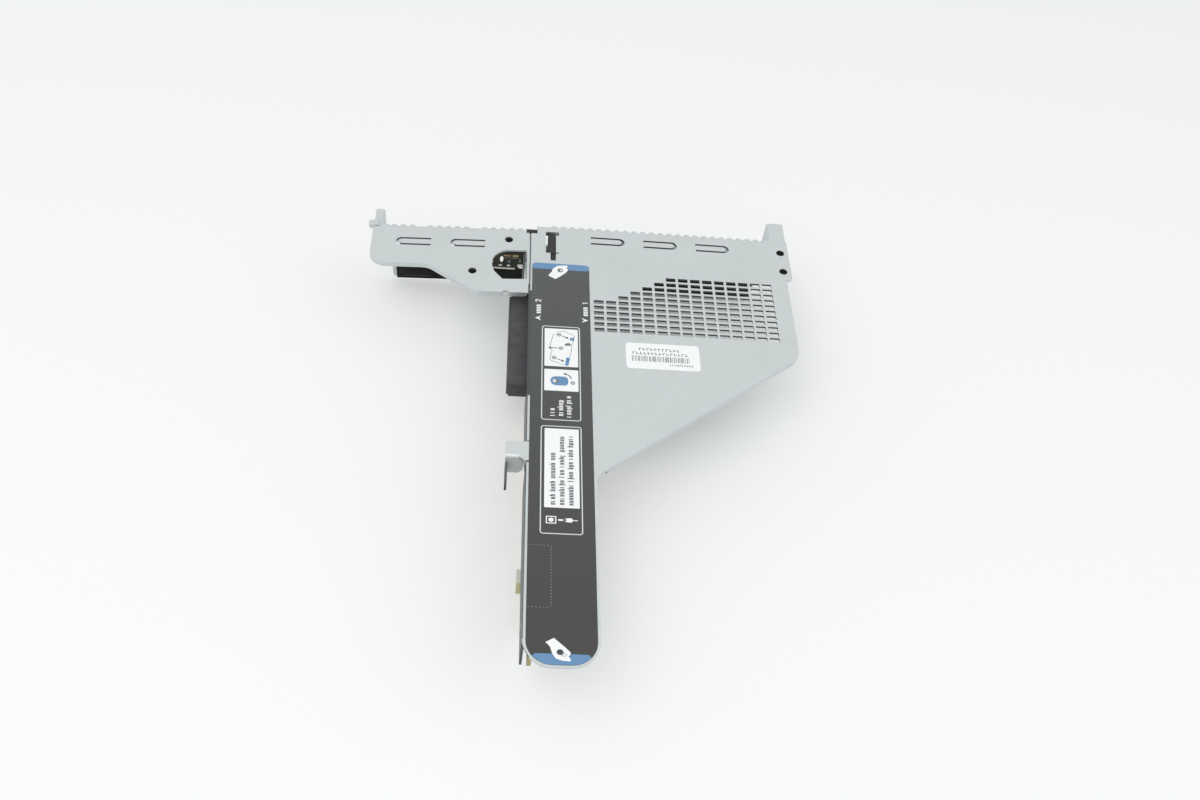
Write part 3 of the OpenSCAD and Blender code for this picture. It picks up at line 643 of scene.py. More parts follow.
class Workshop:
    """Turns CAD nodes and outlines into finished pieces. Lengths are in millimetres, angles in degrees."""

    hole_reach = 6.0
    skin = 0.01
    slack = 0.05
    side_slope = -0.78
    leaf_reach = 1.3
    bend_depth = 1.6
    front_reach = 16.0
    weld = 0.002
    flat_angle = 0.6
    sharp_angle = 38.0

    def __init__(self, frame: dict) -> None:
        """Keep the loaded frame.
        """
        self.frame = frame

    def finish_piece(self, name: str, mesh: Mesh, slot: str, nodes: tuple[str, ...] = ()) -> Piece:
        """Args:
            name: Name of the piece.
            mesh: Its mesh.
            slot: Material slot of the record; not used.
            nodes: CAD nodes that it replaces.

        Returns:
            The new object.
        """
        piece = bpy.data.objects.new(name, mesh)
        bpy.context.scene.collection.objects.link(piece)
        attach(piece, BODY)
        if nodes:
            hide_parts(*nodes)
        LOG.info("%s: %d faces", name, len(mesh.polygons))
        return piece

    def find_cuts(self, sheet: bmesh.types.BMesh, thickness: float, rim: int) -> None:
        """Give the second material to the faces that were cut through a sheet; on the sheets it is a darker
        sheared edge that paints the shade inside holes and slits.

        Behind a rolled face lies the other side of the sheet. A cut face is one thickness wide and
        has nothing so close behind it, and the cut of a hole or slit also faces another cut.

        Args:
            sheet: The mesh of the sheet.
            thickness: Thickness of the sheet.
            rim: Number of the material of cuts that face nothing.
        """
        tree = BVHTree.FromBMesh(sheet)
        reach, skin, thick = self.hole_reach * MM, self.skin * MM, thickness * MM
        narrowest, widest, deepest = ((1 + share * self.slack) * thick for share in (-1, 1, 2))
        for face in sheet.faces:
            middle, normal = face.calc_center_median(), face.normal
            behind = tree.ray_cast(middle - normal * skin, -normal)[3]
            ahead = tree.ray_cast(middle + normal * skin, normal)[3]
            longest = max(face.edges, key=lambda edge: edge.calc_length())
            along = (longest.verts[1].co - longest.verts[0].co).normalized()
            spans = []
            for axis in (along, normal.cross(along)):
                places = [vert.co.dot(axis) for vert in face.verts]
                spans.append(max(places) - min(places))
            narrow = min(spans) < widest and (max(spans) < widest or min(spans) > narrowest)
            if narrow and (behind is None or behind > deepest):
                # Cuts of holes and slits get the darker edge, painted shade; outer cuts get the rim material.
                face.material_index = 1 if ahead is not None and ahead < reach else rim

    def shade_side(self, sheet: bmesh.types.BMesh, index: int) -> None:
        """Give the left side, the guide leaf that hangs furthest left and the front end another material, a
        darker copy of the zinc that paints shade on them.

        Args:
            sheet: The mesh of the sheet.
            index: Number of the material.
        """
        left = min(vert.co.x for vert in sheet.verts) + self.leaf_reach * MM
        front = min(vert.co.y for vert in sheet.verts) + self.front_reach * MM
        top = max(vert.co.z for vert in sheet.verts) - self.bend_depth * MM
        for face in sheet.faces:
            middle = face.calc_center_median()
            hangs = middle.z < top
            end = hangs and middle.y < front and face.normal.z < 0.5
            side = face.normal.x < self.side_slope or hangs and middle.x < left
            # Painted shade goes on the hanging front end and on the faces that face left.
            if end or side and face.material_index == 0:
                face.material_index = index

    def soften(self, node: str, name: str, slot: str, materials: tuple[Material, ...], width: float,
               segments: int = 2, thickness: float = 0.0, rim: int = 0) -> Piece:
        """Copy a CAD node and break its sharp edges.

        Args:
            node: Name of the CAD node.
            name: Name of the new piece.
            slot: Material slot of the record.
            materials: Its material, that of its cut faces, whose dark paints shade in holes and slits of a
                sheet, and that of its left side, which paints shade there, where these differ.
            width: Width of the broken edge.
            segments: Facets across the broken edge.
            thickness: Thickness of a sheet whose cut faces get the second material.
            rim: Number of the material of the sheet's outer rim.

        Returns:
            The new piece, which replaces the node.
        """
        mesh = bpy.data.meshes.new(name)
        for material in materials:
            mesh.materials.append(material)
        sheet = bmesh.new()
        sheet.from_mesh(self.frame["nodes"][node].data)
        bmesh.ops.remove_doubles(sheet, verts=sheet.verts, dist=self.weld * MM)
        bmesh.ops.dissolve_limit(sheet, angle_limit=math.radians(self.flat_angle), verts=sheet.verts,
                                 edges=sheet.edges, delimit={"NORMAL"})
        for face in sheet.faces:
            face.smooth = True
            face.material_index = 0
        if thickness:
            self.find_cuts(sheet, thickness, rim)
        # A third material paints shade on the left side.
        if len(materials) > 2:
            self.shade_side(sheet, 2)
        sheet.to_mesh(mesh)
        sheet.free()
        return self.finish_piece(name, self.break_edges(mesh, name, width, segments), slot, (node,))

    def break_edges(self, mesh: Mesh, name: str, width: float, segments: int) -> Mesh:
        """Bevel the sharp edges of a mesh and even out its normals.

        Args:
            mesh: The sharp mesh.
            name: Name of the new mesh.
            width: Width of the broken edge.
            segments: Facets across it.

        Returns:
            The new mesh.
        """
        rough = bpy.data.objects.new(name + "_rough", mesh)
        bpy.context.scene.collection.objects.link(rough)
        bevel = rough.modifiers.new("broken_edges", "BEVEL")
        bevel.width = width * MM
        bevel.segments = segments
        bevel.limit_method = "ANGLE"
        bevel.angle_limit = math.radians(self.sharp_angle)
        bevel.harden_normals = False
        bevel.material = -1
        weighted = rough.modifiers.new("even_normals", "WEIGHTED_NORMAL")
        weighted.keep_sharp = True
        done = evaluated_mesh(rough, name)
        bpy.data.objects.remove(rough)
        return done

    def dress(self, node: str, material: Material) -> None:
        """Give a CAD node that stays its material.

        Args:
            node: Name of the CAD node.
            material: The material.
        """
        mesh = self.frame["nodes"][node].data
        mesh.materials.clear()
        mesh.materials.append(material)
        LOG.info("%s keeps its CAD mesh", node)


def evaluated_mesh(piece: Piece, name: str) -> Mesh:
    """Copy what an object's modifiers or curve make of it.

    Args:
        piece: The object.
        name: Name of the new mesh.

    Returns:
        The new mesh.
    """
    graph = bpy.context.evaluated_depsgraph_get()
    mesh = bpy.data.meshes.new_from_object(piece.evaluated_get(graph), preserve_all_data_layers=True,
                                           depsgraph=graph)
    mesh.name = name
    return mesh


def join_rings(shape: bmesh.types.BMesh, rings: list[list[bmesh.types.BMVert]]) -> list[bmesh.types.BMFace]:
    """Span faces between closed rings of as many vertices each.

    Args:
        shape: The mesh that holds them.
        rings: The rings, in order.

    Returns:
        The new faces.
    """
    faces = []
    for first, second in zip(rings, rings[1:]):
        for step in range(len(first)):
            after = (step + 1) % len(first)
            faces.append(shape.faces.new((first[step], first[after], second[after], second[step])))
    return faces


def close_mesh(shape: bmesh.types.BMesh, name: str, materials: tuple[Material, ...]) -> Mesh:
    """Turn a finished shape into a mesh with its materials.

    Args:
        shape: The shape, which is freed.
        name: Name of the mesh.
        materials: Its materials.

    Returns:
        The mesh.
    """
    mesh = bpy.data.meshes.new(name)
    shape.to_mesh(mesh)
    shape.free()
    for material in materials:
        mesh.materials.append(material)
    return mesh


def rounded_box(u0: float, d0: float, u1: float, d1: float, radii: tuple[float, float, float, float],
                steps: int = 6) -> list[Point]:
    """Outline of a rectangle with rounded corners.

    Args:
        u0: Low side across.
        d0: Low side along.
        u1: High side across.
        d1: High side along.
        radii: Corner radii at (u0, d0), (u1, d0), (u1, d1) and (u0, d1).
        steps: Facets in each corner.

    Returns:
        The points of the outline, in millimetres.
    """
    corners = ((u0, d0, 1, 1, 180), (u1, d0, -1, 1, 270), (u1, d1, -1, -1, 0), (u0, d1, 1, -1, 90))
    points = []
    for (u, d, su, sd, start), radius in zip(corners, radii):
        for step in range(steps + 1):
            angle = math.radians(start + 90 * step / steps)
            middle = (u + su * radius, d + sd * radius)
            points.append((middle[0] + radius * math.cos(angle), middle[1] + radius * math.sin(angle)))
    return points


def ellipse(u: float, d: float, across: float, along: float, steps: int = 24) -> list[Point]:
    """Outline of an ellipse.

    Args:
        u: Middle across.
        d: Middle along.
        across: Half width.
        along: Half length.
        steps: Number of points.

    Returns:
        The points of the outline.
    """
    turns = [2 * math.pi * step / steps for step in range(steps)]
    return [(u + across * math.cos(t), d + along * math.sin(t)) for t in turns]


class PrintSheet:
    """Collects flat areas of ink on a film and turns them into one mesh, with lengths in millimetres."""

    ink_gap = 0.004
    ink_step = 0.008
    arrow_foot = 1.2
    arrow_neck = 1.3
    arrow_half = 0.7
    arrow_line = 0.42
    least_radius = 0.05

    def __init__(self, corner: Vector, top: float, inks: tuple[Material, ...]) -> None:
        """Start an empty print.

        Args:
            corner: Rear left corner of the film's top face.
            top: Height of the film's top face, in metres.
            inks: Their materials.
        """
        self.corner = corner
        self.base = top + self.ink_gap * MM
        self.inks = inks
        self.mesh = bmesh.new()

    def spot(self, point: Point, level: int) -> bmesh.types.BMVert:
        """Make a vertex at a place on the film."""
        height = self.base + level * self.ink_step * MM
        return self.mesh.verts.new((self.corner.x + point[0] * MM, self.corner.y - point[1] * MM, height))

    def area(self, outline: list[Point], ink: Material, level: int = 0) -> None:
        """Add a filled area.

        Args:
            outline: Its points, across and along, in millimetres.
            ink: Its material.
            level: Its place in the stack of inks.
        """
        face = self.mesh.faces.new([self.spot(point, level) for point in outline])
        face.material_index = self.inks.index(ink)

    def ring(self, outer: list[Point], inner: list[Point], ink: Material, level: int) -> None:
        """Add the area between two outlines with as many points each.

        Args:
            outer: Outer outline.
            inner: Inner outline.
            ink: Its material.
            level: Its place in the stack of inks.
        """
        rings = [[self.spot(point, level) for point in outline] for outline in (outer, inner)]
        for face in join_rings(self.mesh, rings):
            face.material_index = self.inks.index(ink)

    def box(self, u0: float, d0: float, u1: float, d1: float, ink: Material, level: int = 0,
            radius: float = 0.0) -> None:
        """Add a filled rectangle, with rounded corners where a radius is given."""
        sharp = [(u0, d0), (u1, d0), (u1, d1), (u0, d1)]
        self.area(rounded_box(u0, d0, u1, d1, (radius,) * 4) if radius else sharp, ink, level)

    def frame(self, box: Box, line: float, ink: Material, level: int, radius: float) -> None:
        """Add a rectangle drawn as a line.

        Args:
            box: Its sides.
            line: Width of its line.
            ink: Its material.
            level: Its place in the stack of inks.
            radius: Outer radius of its corners.
        """
        u0, d0, u1, d1 = box
        inner_radius = max(self.least_radius, radius - line)
        inner = rounded_box(u0 + line, d0 + line, u1 - line, d1 - line, (inner_radius,) * 4)
        self.ring(rounded_box(u0, d0, u1, d1, (radius,) * 4), inner, ink, level)

    def stroke(self, points: list[Point], width: float, ink: Material, level: int) -> None:
        """Add a line through points.

        Args:
            points: Points of its middle.
            width: Its width.
            ink: Its material.
            level: Its place in the stack of inks.
        """
        left, right = [], []
        for index, (u, d) in enumerate(points):
            before, after = points[max(0, index - 1)], points[min(len(points) - 1, index + 1)]
            du, dd = after[0] - before[0], after[1] - before[1]
            length = math.hypot(du, dd) or 1.0
            shift = (-dd / length * width / 2, du / length * width / 2)
            left.append(self.spot((u + shift[0], d + shift[1]), level))
            right.append(self.spot((u - shift[0], d - shift[1]), level))
        for index in range(len(points) - 1):
            face = self.mesh.faces.new((left[index], left[index + 1], right[index + 1], right[index]))
            face.material_index = self.inks.index(ink)

    def dots(self, start: Point, end: Point, count: int, size: float, ink: Material, level: int) -> None:
        """Add a dotted line.

        Args:
            start: Its first dot.
            end: Its last dot.
            count: Number of dots.
            size: Width of a dot.
            ink: Its material.
            level: Its place in the stack of inks.
        """
        for index in range(count):
            share = index / max(1, count - 1)
            u = start[0] + (end[0] - start[0]) * share
            d = start[1] + (end[1] - start[1]) * share
            self.area(ellipse(u, d, size / 2, size / 2, 8), ink, level)

    def arrow(self, start: Point, end: Point, ink: Material, level: int) -> None:
        """Add an arrow with a filled head.

        Args:
            start: Its tail.
            end: Its tip.
            ink: Its material.
            level: Its place in the stack of inks.
        """
        du, dd = end[0] - start[0], end[1] - start[1]
        length = math.hypot(du, dd)
        along = (du / length, dd / length)
        foot, neck = ((end[0] - along[0] * back, end[1] - along[1] * back)
                      for back in (self.arrow_foot, self.arrow_neck))
        side = (-along[1] * self.arrow_half, along[0] * self.arrow_half)
        self.stroke([start, foot], self.arrow_line, ink, level)
        barbs = [(neck[0] + side[0], neck[1] + side[1]), (neck[0] - side[0], neck[1] - side[1])]
        self.area([end, *barbs], ink, level)

    def row(self, foot: float, height: float, start: float, runs: tuple[int, ...], pitch: float,
            ink: Material, seed: int, level: int, weight: float = 0.42) -> None:
        """Add a row of small plain strokes in groups, from the front towards the rear.

        Args:
            foot: Place of the strokes' foot, across the film.
            height: Height of the tallest stroke, towards the film's left edge.
            start: Front end of the row.
            runs: Number of marks in each group.
            pitch: Length of one mark with its gap.
            ink: Its material.
            seed: Seed of the pattern.
            level: Its place in the stack of inks.
            weight: Width of a stroke.
        """
        pattern = random.Random(seed)
        place = start
        for run in runs:
            for _ in range(run):
                tall = height * pattern.choice((0.74, 0.74, 0.74, 0.78, 1.0))
                drop = height * 0.22 if pattern.random() < 0.1 else 0.0
                self.box(foot - tall, place - weight, foot + drop, place, ink, level)
                if pattern.random() < 0.82:
                    far = place - pitch * 0.72
                    self.box(foot - height * 0.72, far, foot, far + weight, ink, level)
                    rail = foot - pattern.choice((weight, height * 0.72, height * 0.48))
                    self.box(rail, far + weight, rail + weight, place - weight, ink, level)
                place -= pitch
            place -= pitch * 0.75

    def finish(self, name: str) -> Mesh:
        """Close the print and return its mesh.

        Args:
            name: Name of the mesh.

        Returns:
            The mesh, with every face turned up.
        """
        for face in self.mesh.faces:
            face.normal_update()
            if face.normal.z < 0:
                face.normal_flip()
        return close_mesh(self.mesh, name, self.inks)


def film_mesh(name: str, corner: Vector, outline: list[Point], low: float, high: float,
              material: Material) -> Mesh:
    """Solid film with a softened upper rim.

    Args:
        name: Name of the mesh.
        corner: Rear left corner of the film.
        outline: Its outline in millimetres, across and along.
        low: Height of its lower face in metres.
        high: Height of its upper face in metres.
        material: Its material.

    Returns:
        The mesh.
    """
    rim_share, rim_pull = 0.4, 0.06
    shape = bmesh.new()
    middle_u = sum(p[0] for p in outline) / len(outline)
    middle_d = sum(p[1] for p in outline) / len(outline)
    rings = []
    for height, pull in ((low, 0.0), (high - (high - low) * rim_share, 0.0), (high, rim_pull)):
        ring = []
        for u, d in outline:
            away = math.hypot(u - middle_u, d - middle_d)
            share = 1 - pull / away
            ring.append(shape.verts.new((corner.x + (middle_u + (u - middle_u) * share) * MM,
                                         corner.y - (middle_d + (d - middle_d) * share) * MM, height)))
        rings.append(ring)
    join_rings(shape, rings)
    shape.faces.new(rings[0])
    shape.faces.new(rings[-1])
    bmesh.ops.recalc_face_normals(shape, faces=shape.faces)
    return close_mesh(shape, name, (material,))


# ---------------------------------------------------------------- sub-assemblies


@dataclass
class Cages:
    """The two folded cages, both bracket ledges and the dark nuts under the step-out panel, which paint the
    shade seen in its holes.

    Lengths are in millimetres and angles in degrees. The opening's values say where its arc and its
    corner lie and how far each moves, and the front's say how far the strip's rounded end is drawn in.
    """

    workshop: Workshop
    palette: Palette
    edge: float = 0.1
    thickness: float = 1.0

    opening_middle: Point = (-12.46, 111.1)
    opening_radius: float = 8.6
    opening_span: float = 33.6
    opening_margin: float = 3.0
    opening_shift: Point = (-0.15, -1.83)
    opening_corner: Point = (-3.09, -11.3)
    corner_shift: Point = (-0.3, -0.3)
    opening_reach: float = 0.35
    opening_low: float = 35.0

    front_zone: float = 10.6
    front_trim: float = 0.7
    front_depth: float = 1.3
    front_fade: float = 4.0

    nut_steps: int = 32
    nut_weld: float = 0.0005
    nut_angle: float = 35.0
    nut_profile: tuple[Point, ...] = (
        (1.95, -0.05), (1.95, -2.4), (1.2, -2.7), (0.0, -2.75), (0.0, -3.3), (1.6, -3.3), (2.5, -2.9),
        (2.6, -1.1), (3.1, -1.05), (3.1, -1.0), (2.0, -1.0))

    def build(self) -> None:
        """Build the four sheet pieces and the dark nuts that paint the shade in the panel's holes."""
        sheet = (self.palette.zinc, self.palette.cut_edge_and_painted_shade)
        pieces = {}
        for node in ("slot2_cage", "slot1_ledge", "slot2_ledge", "main_cage"):
            # The main cage gets a third material, a darker zinc that paints shade on its left side.
            materials = (*sheet, self.palette.zinc_painted_shade) if node == "main_cage" else sheet
            pieces[node] = self.workshop.soften(node, node + "_sheet", "zinc_sheet", materials, self.edge,
                                                thickness=self.thickness)
        self.draw_opening(pieces["slot2_cage"])
        self.trim_front(pieces["main_cage"])
        self.painted_shade_nuts()

    def draw_opening(self, plate: Piece) -> None:
        """Bring the left corner of the D-shaped opening further to the front.

        Args:
            plate: The piece of the small cage.
        """
        middle, corner = Vector(self.opening_middle), Vector(self.opening_corner)
        for vert in plate.data.vertices:
            place = vert.co.xy / MM - middle
            turn = math.degrees(math.atan2(-place.y, -place.x))
            on_arc = abs(place.length - self.opening_radius) < self.opening_reach
            shift = Vector((0.0, 0.0))
            if on_arc and 0 < turn < self.opening_span + self.opening_margin:
                shift = Vector(self.opening_shift) * min(1.0, turn / self.opening_span)
            elif (place - corner).length < self.opening_reach:
                shift = Vector(self.corner_shift)
            if vert.co.z > self.opening_low * MM:
                vert.co.xy += shift * MM

    def trim_front(self, cage: Piece) -> None:
        """Draw in the strip's rounded front end, where the sheet stands out less from under the film.

        Args:
            cage: The piece of the main cage.
        """
        low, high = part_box("slot_label")
        verts = cage.data.vertices
        top = max(vert.co.z for vert in verts) - self.front_depth * MM
        front = min(vert.co.y for vert in verts)
        middle = Vector(((low.x + high.x) / 2, front + self.front_zone * MM))
        for vert in verts:
            depth = middle.y - vert.co.y
            if depth > 0 and vert.co.z > top:
                share = min(1.0, depth / (self.front_fade * MM))
                vert.co.xy += (middle - vert.co.xy).normalized() * self.front_trim * MM * share

    def painted_shade_nuts(self) -> None:
        """A closed black nut pressed in under each hole of the step-out panel; the dark nuts paint the shade
        seen in the holes.
        """
        mount = next(m for m in self.workshop.frame["record"]["mounts"] if m["name"] == "panel_holes")
        x, y, z = mount["pos_m"]
        spread = mount["dims"]["spacing_y_mm"] / 2
        shape = bmesh.new()
        for side in (-1, 1):
            rings = []
            for radius, height in self.nut_profile:
                circle = ellipse(0.0, side * spread, radius, radius, self.nut_steps)
                rings.append([shape.verts.new((x + across * MM, y + along * MM, z + height * MM))
                              for across, along in circle])
            join_rings(shape, rings + rings[:1])
        bmesh.ops.remove_doubles(shape, verts=shape.verts, dist=self.nut_weld * MM)
        bmesh.ops.recalc_face_normals(shape, faces=shape.faces)
        for face in shape.faces:
            face.smooth = True
        mesh = close_mesh(shape, "panel_painted_shade_nuts", (self.palette.black_painted_shade,))
        mesh.set_sharp_from_angle(angle=math.radians(self.nut_angle))
        self.workshop.finish_piece("panel_painted_shade_nuts", mesh, "bright_steel")


@dataclass
class RiserBoard:
    """The upright board with its connectors and small parts."""

    workshop: Workshop
    palette: Palette
    edge: float = 0.1
    thickness: float = 1.57
    header_front: float = 0.31
    header_rear: float = 0.05
    header_seam: float = 0.5
    housing_edge: float = 0.2
    capacitor_edge: float = 0.08

    def build(self) -> None:
        """Build the board and what stands on it."""
        shop, palette = self.workshop, self.palette
        shop.soften("riser_board", "riser_board_laminate", "board_laminate", (palette.mask, palette.laminate),
                    self.edge, thickness=self.thickness, rim=1)
        for slot in ("slot1", "slot2"):
            shop.soften(f"{slot}_connector", f"{slot}_connector_body", "connector_plastic",
                        (palette.connector,), self.housing_edge)
            shop.dress(f"{slot}_contacts", palette.gold)
        shop.dress("edge_contacts", palette.gold)
        self.header()
        shop.soften("board_capacitors", "board_capacitor_bodies", "ceramic_body", (palette.ceramic,),
                    self.capacitor_edge)
        shop.soften("clock_chip", "clock_chip_body", "chip_resin", (palette.resin,), self.edge)

    def header(self) -> None:
        """The cream block, whose housing is shorter than its space and yellower in its front half."""
        palette = self.palette
        piece = self.workshop.soften("signal_header", "signal_header_body", "cream_plastic",
                                     (palette.cream, palette.yellow_cream), self.housing_edge)
        low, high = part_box("signal_header")
        length, middle = high.y - low.y, (high.y + low.y) / 2
        for vertex in piece.data.vertices:
            vertex.co.y += length * (self.header_front if vertex.co.y < middle else -self.header_rear)
        seam = middle + length * (self.header_front - self.header_rear) / 2 - self.header_seam * MM
        for face in piece.data.polygons:
            if face.center.y < seam:
                face.material_index = 1


@dataclass
class Fasteners:
    """Screws, spacers, rivets and nuts."""

    workshop: Workshop
    palette: Palette
    edge: float = 0.12

    def build(self) -> None:
        """Build every fastener."""
        for node in ("board_spacers", "board_screws", "web_rivets", "ledge_rivets", "ledge_nuts"):
            self.workshop.soften(node, node + "_turned", "bright_steel", (self.palette.steel,), self.edge)


class StripPart(Enum):
    """Materials of the contact strip, in their order on its mesh, named as in the palette."""

    # Plate colour, darkened with painted shade.
    PLATE = "bronze"
    # Patches of painted light.
    PAINTED_LIGHT = "tin"
    GOLDEN = "dull_gold"
    TAN = "ceramic"
    GREY = "dull_steel"


@dataclass(frozen=True)
class RaisedPatch:
    """A raised patch of the contact strip. Its sides are measured from the strip's right end."""

    left: float
    low: float
    right: float
    high: float
    part: StripPart
    radius: float = 0.4
    first_radius: float = 0.0

    def outline(self, end: float) -> list[Point]:
        """Outline of the patch.

        Args:
            end: Place of the strip's right end, in millimetres.

        Returns:
            Its points, across and up, in millimetres.
        """
        radii = (self.first_radius or self.radius, self.radius, self.radius, self.radius)
        return rounded_box(end - self.left, self.low, end - self.right, self.high, radii, 4)


@dataclass
class SealsAndClip:
    """The two rubber sealing strips, the moulded clip and the pierced contact strip.

    Lengths are in millimetres. A patch's profile gives how far forward each of its rings stands, and the
    share by which it is drawn in.
    """

    workshop: Workshop
    palette: Palette

    rubber_edge: float = 0.4
    rubber_facets: int = 3
    clip_edge: float = 0.3

    wall: float = 1.1
    strip_back: float = 0.45
    strip_length: float = 16.2
    strip_low: float = 13.6
    strip_high: float = 25.4
    strip_half: float = 0.1
    strip_radius: float = 0.4
    hole_left: float = 11.9
    hole_middle: float = 19.75
    hole_across: float = 0.85
    hole_up: float = 2.0
    patch_profile: tuple[Point, ...] = ((0.1, 0.0), (0.28, 0.0), (0.38, 0.1))
    # The first four patches, near-white, are painted light.
    patches: tuple[RaisedPatch, ...] = (
        RaisedPatch(16.0, 13.5, 5.0, 14.3, StripPart.PAINTED_LIGHT, 0.38),
        RaisedPatch(13.3, 15.4, 11.5, 16.3, StripPart.PAINTED_LIGHT),
        RaisedPatch(9.2, 15.4, 7.4, 16.3, StripPart.PAINTED_LIGHT),
        RaisedPatch(3.9, 14.2, 1.2, 16.9, StripPart.PAINTED_LIGHT, 0.3, first_radius=1.9),
        RaisedPatch(6.6, 21.7, 3.6, 23.2, StripPart.GOLDEN),
        RaisedPatch(10.95, 21.85, 7.25, 22.95, StripPart.TAN),
        RaisedPatch(1.25, 6.3, 0.0, 24.6, StripPart.GREY, 0.3),
        RaisedPatch(10.6, 20.7, 2.6, 21.2, StripPart.GREY, 0.2),
        RaisedPatch(8.8, 17.8, 7.4, 19.4, StripPart.GREY, 0.5),
        RaisedPatch(3.4, 18.0, 2.2, 20.2, StripPart.GREY, 0.5))

    def build(self) -> None:
        """Build the sealing strips, the clip and the contact strip."""
        shop, palette = self.workshop, self.palette
        for node in ("slot1_gasket", "slot2_gasket"):
            shop.soften(node, node + "_strip", "black_rubber", (palette.rubber,), self.rubber_edge,
                        self.rubber_facets)
        shop.soften("cover_clip", "cover_clip_body", "clip_plastic", (palette.clip,), self.clip_edge)
        self.contact_strip()

    def contact_strip(self) -> None:
        """A pierced strip with raised patches at the right end of the small window; its plate colour is
        darkened with painted shade, and its four near-white patches are painted light.
        """
        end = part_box("slot2_cage")[1].x / MM - self.wall
        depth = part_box("slot2_gasket")[0].y / MM - self.strip_back
        shape = self.pierced_plate(end, depth)
        for patch in self.patches:
            self.raise_patch(shape, patch, end, depth)
        bmesh.ops.recalc_face_normals(shape, faces=shape.faces)
        materials = tuple(getattr(self.palette, part.value) for part in StripPart)
        mesh = close_mesh(shape, "slot2_contact_strip", materials)
        self.workshop.finish_piece("slot2_contact_strip", mesh, "bright_steel")

    def pierced_plate(self, end: float, depth: float) -> bmesh.types.BMesh:
        """Upright flat plate with its hole.

        Args:
            end: Place of its right end, in millimetres.
            depth: Place of its middle, in millimetres.

        Returns:
            The plate.
        """
        curve = bpy.data.curves.new("pierced_strip", "CURVE")
        curve.dimensions = "2D"
        curve.fill_mode = "BOTH"
        curve.extrude = self.strip_half * MM
        outline = rounded_box(end - self.strip_length, self.strip_low, end, self.strip_high,
                              (self.strip_radius,) * 4, 4)
        hole = ellipse(end - self.hole_left, self.hole_middle, self.hole_across, self.hole_up, 16)
        for points in (outline, hole):
            spline = curve.splines.new("POLY")
            spline.points.add(len(points) - 1)
            for slot, (across, up) in zip(spline.points, points):
                slot.co = (across * MM, up * MM, 0.0, 1.0)
            spline.use_cyclic_u = True
        flat = bpy.data.objects.new("pierced_strip", curve)
        bpy.context.scene.collection.objects.link(flat)
        plate = evaluated_mesh(flat, "pierced_strip")
        bpy.data.objects.remove(flat)
        shape = bmesh.new()
        shape.from_mesh(plate)
        upright = Matrix.Rotation(math.pi / 2, 3, "X")
        bmesh.ops.rotate(shape, verts=shape.verts, cent=(0, 0, 0), matrix=upright)
        bmesh.ops.translate(shape, verts=shape.verts, vec=(0, depth * MM, 0))
        for face in shape.faces:
            face.material_index = 0
        return shape

    def raise_patch(self, shape: bmesh.types.BMesh, patch: RaisedPatch, end: float, depth: float) -> None:
        """Add a raised patch to the strip's front face.

        Args:
            shape: The strip.
            patch: The patch.
            end: Place of the strip's right end, in millimetres.
            depth: Place of the strip's middle, in millimetres.
        """
        rim = patch.outline(end)
        across, up = end - (patch.left + patch.right) / 2, (patch.low + patch.high) / 2
        rings = []
        for forward, pull in self.patch_profile:
            ring = [(across + (u - across) * (1 - pull), up + (w - up) * (1 - pull)) for u, w in rim]
            rings.append([shape.verts.new((u * MM, (depth - forward) * MM, w * MM)) for u, w in ring])
        faces = [shape.faces.new(rings[0]), shape.faces.new(rings[-1]), *join_rings(shape, rings)]
        for face in faces:
            face.material_index = list(StripPart).index(patch.part)


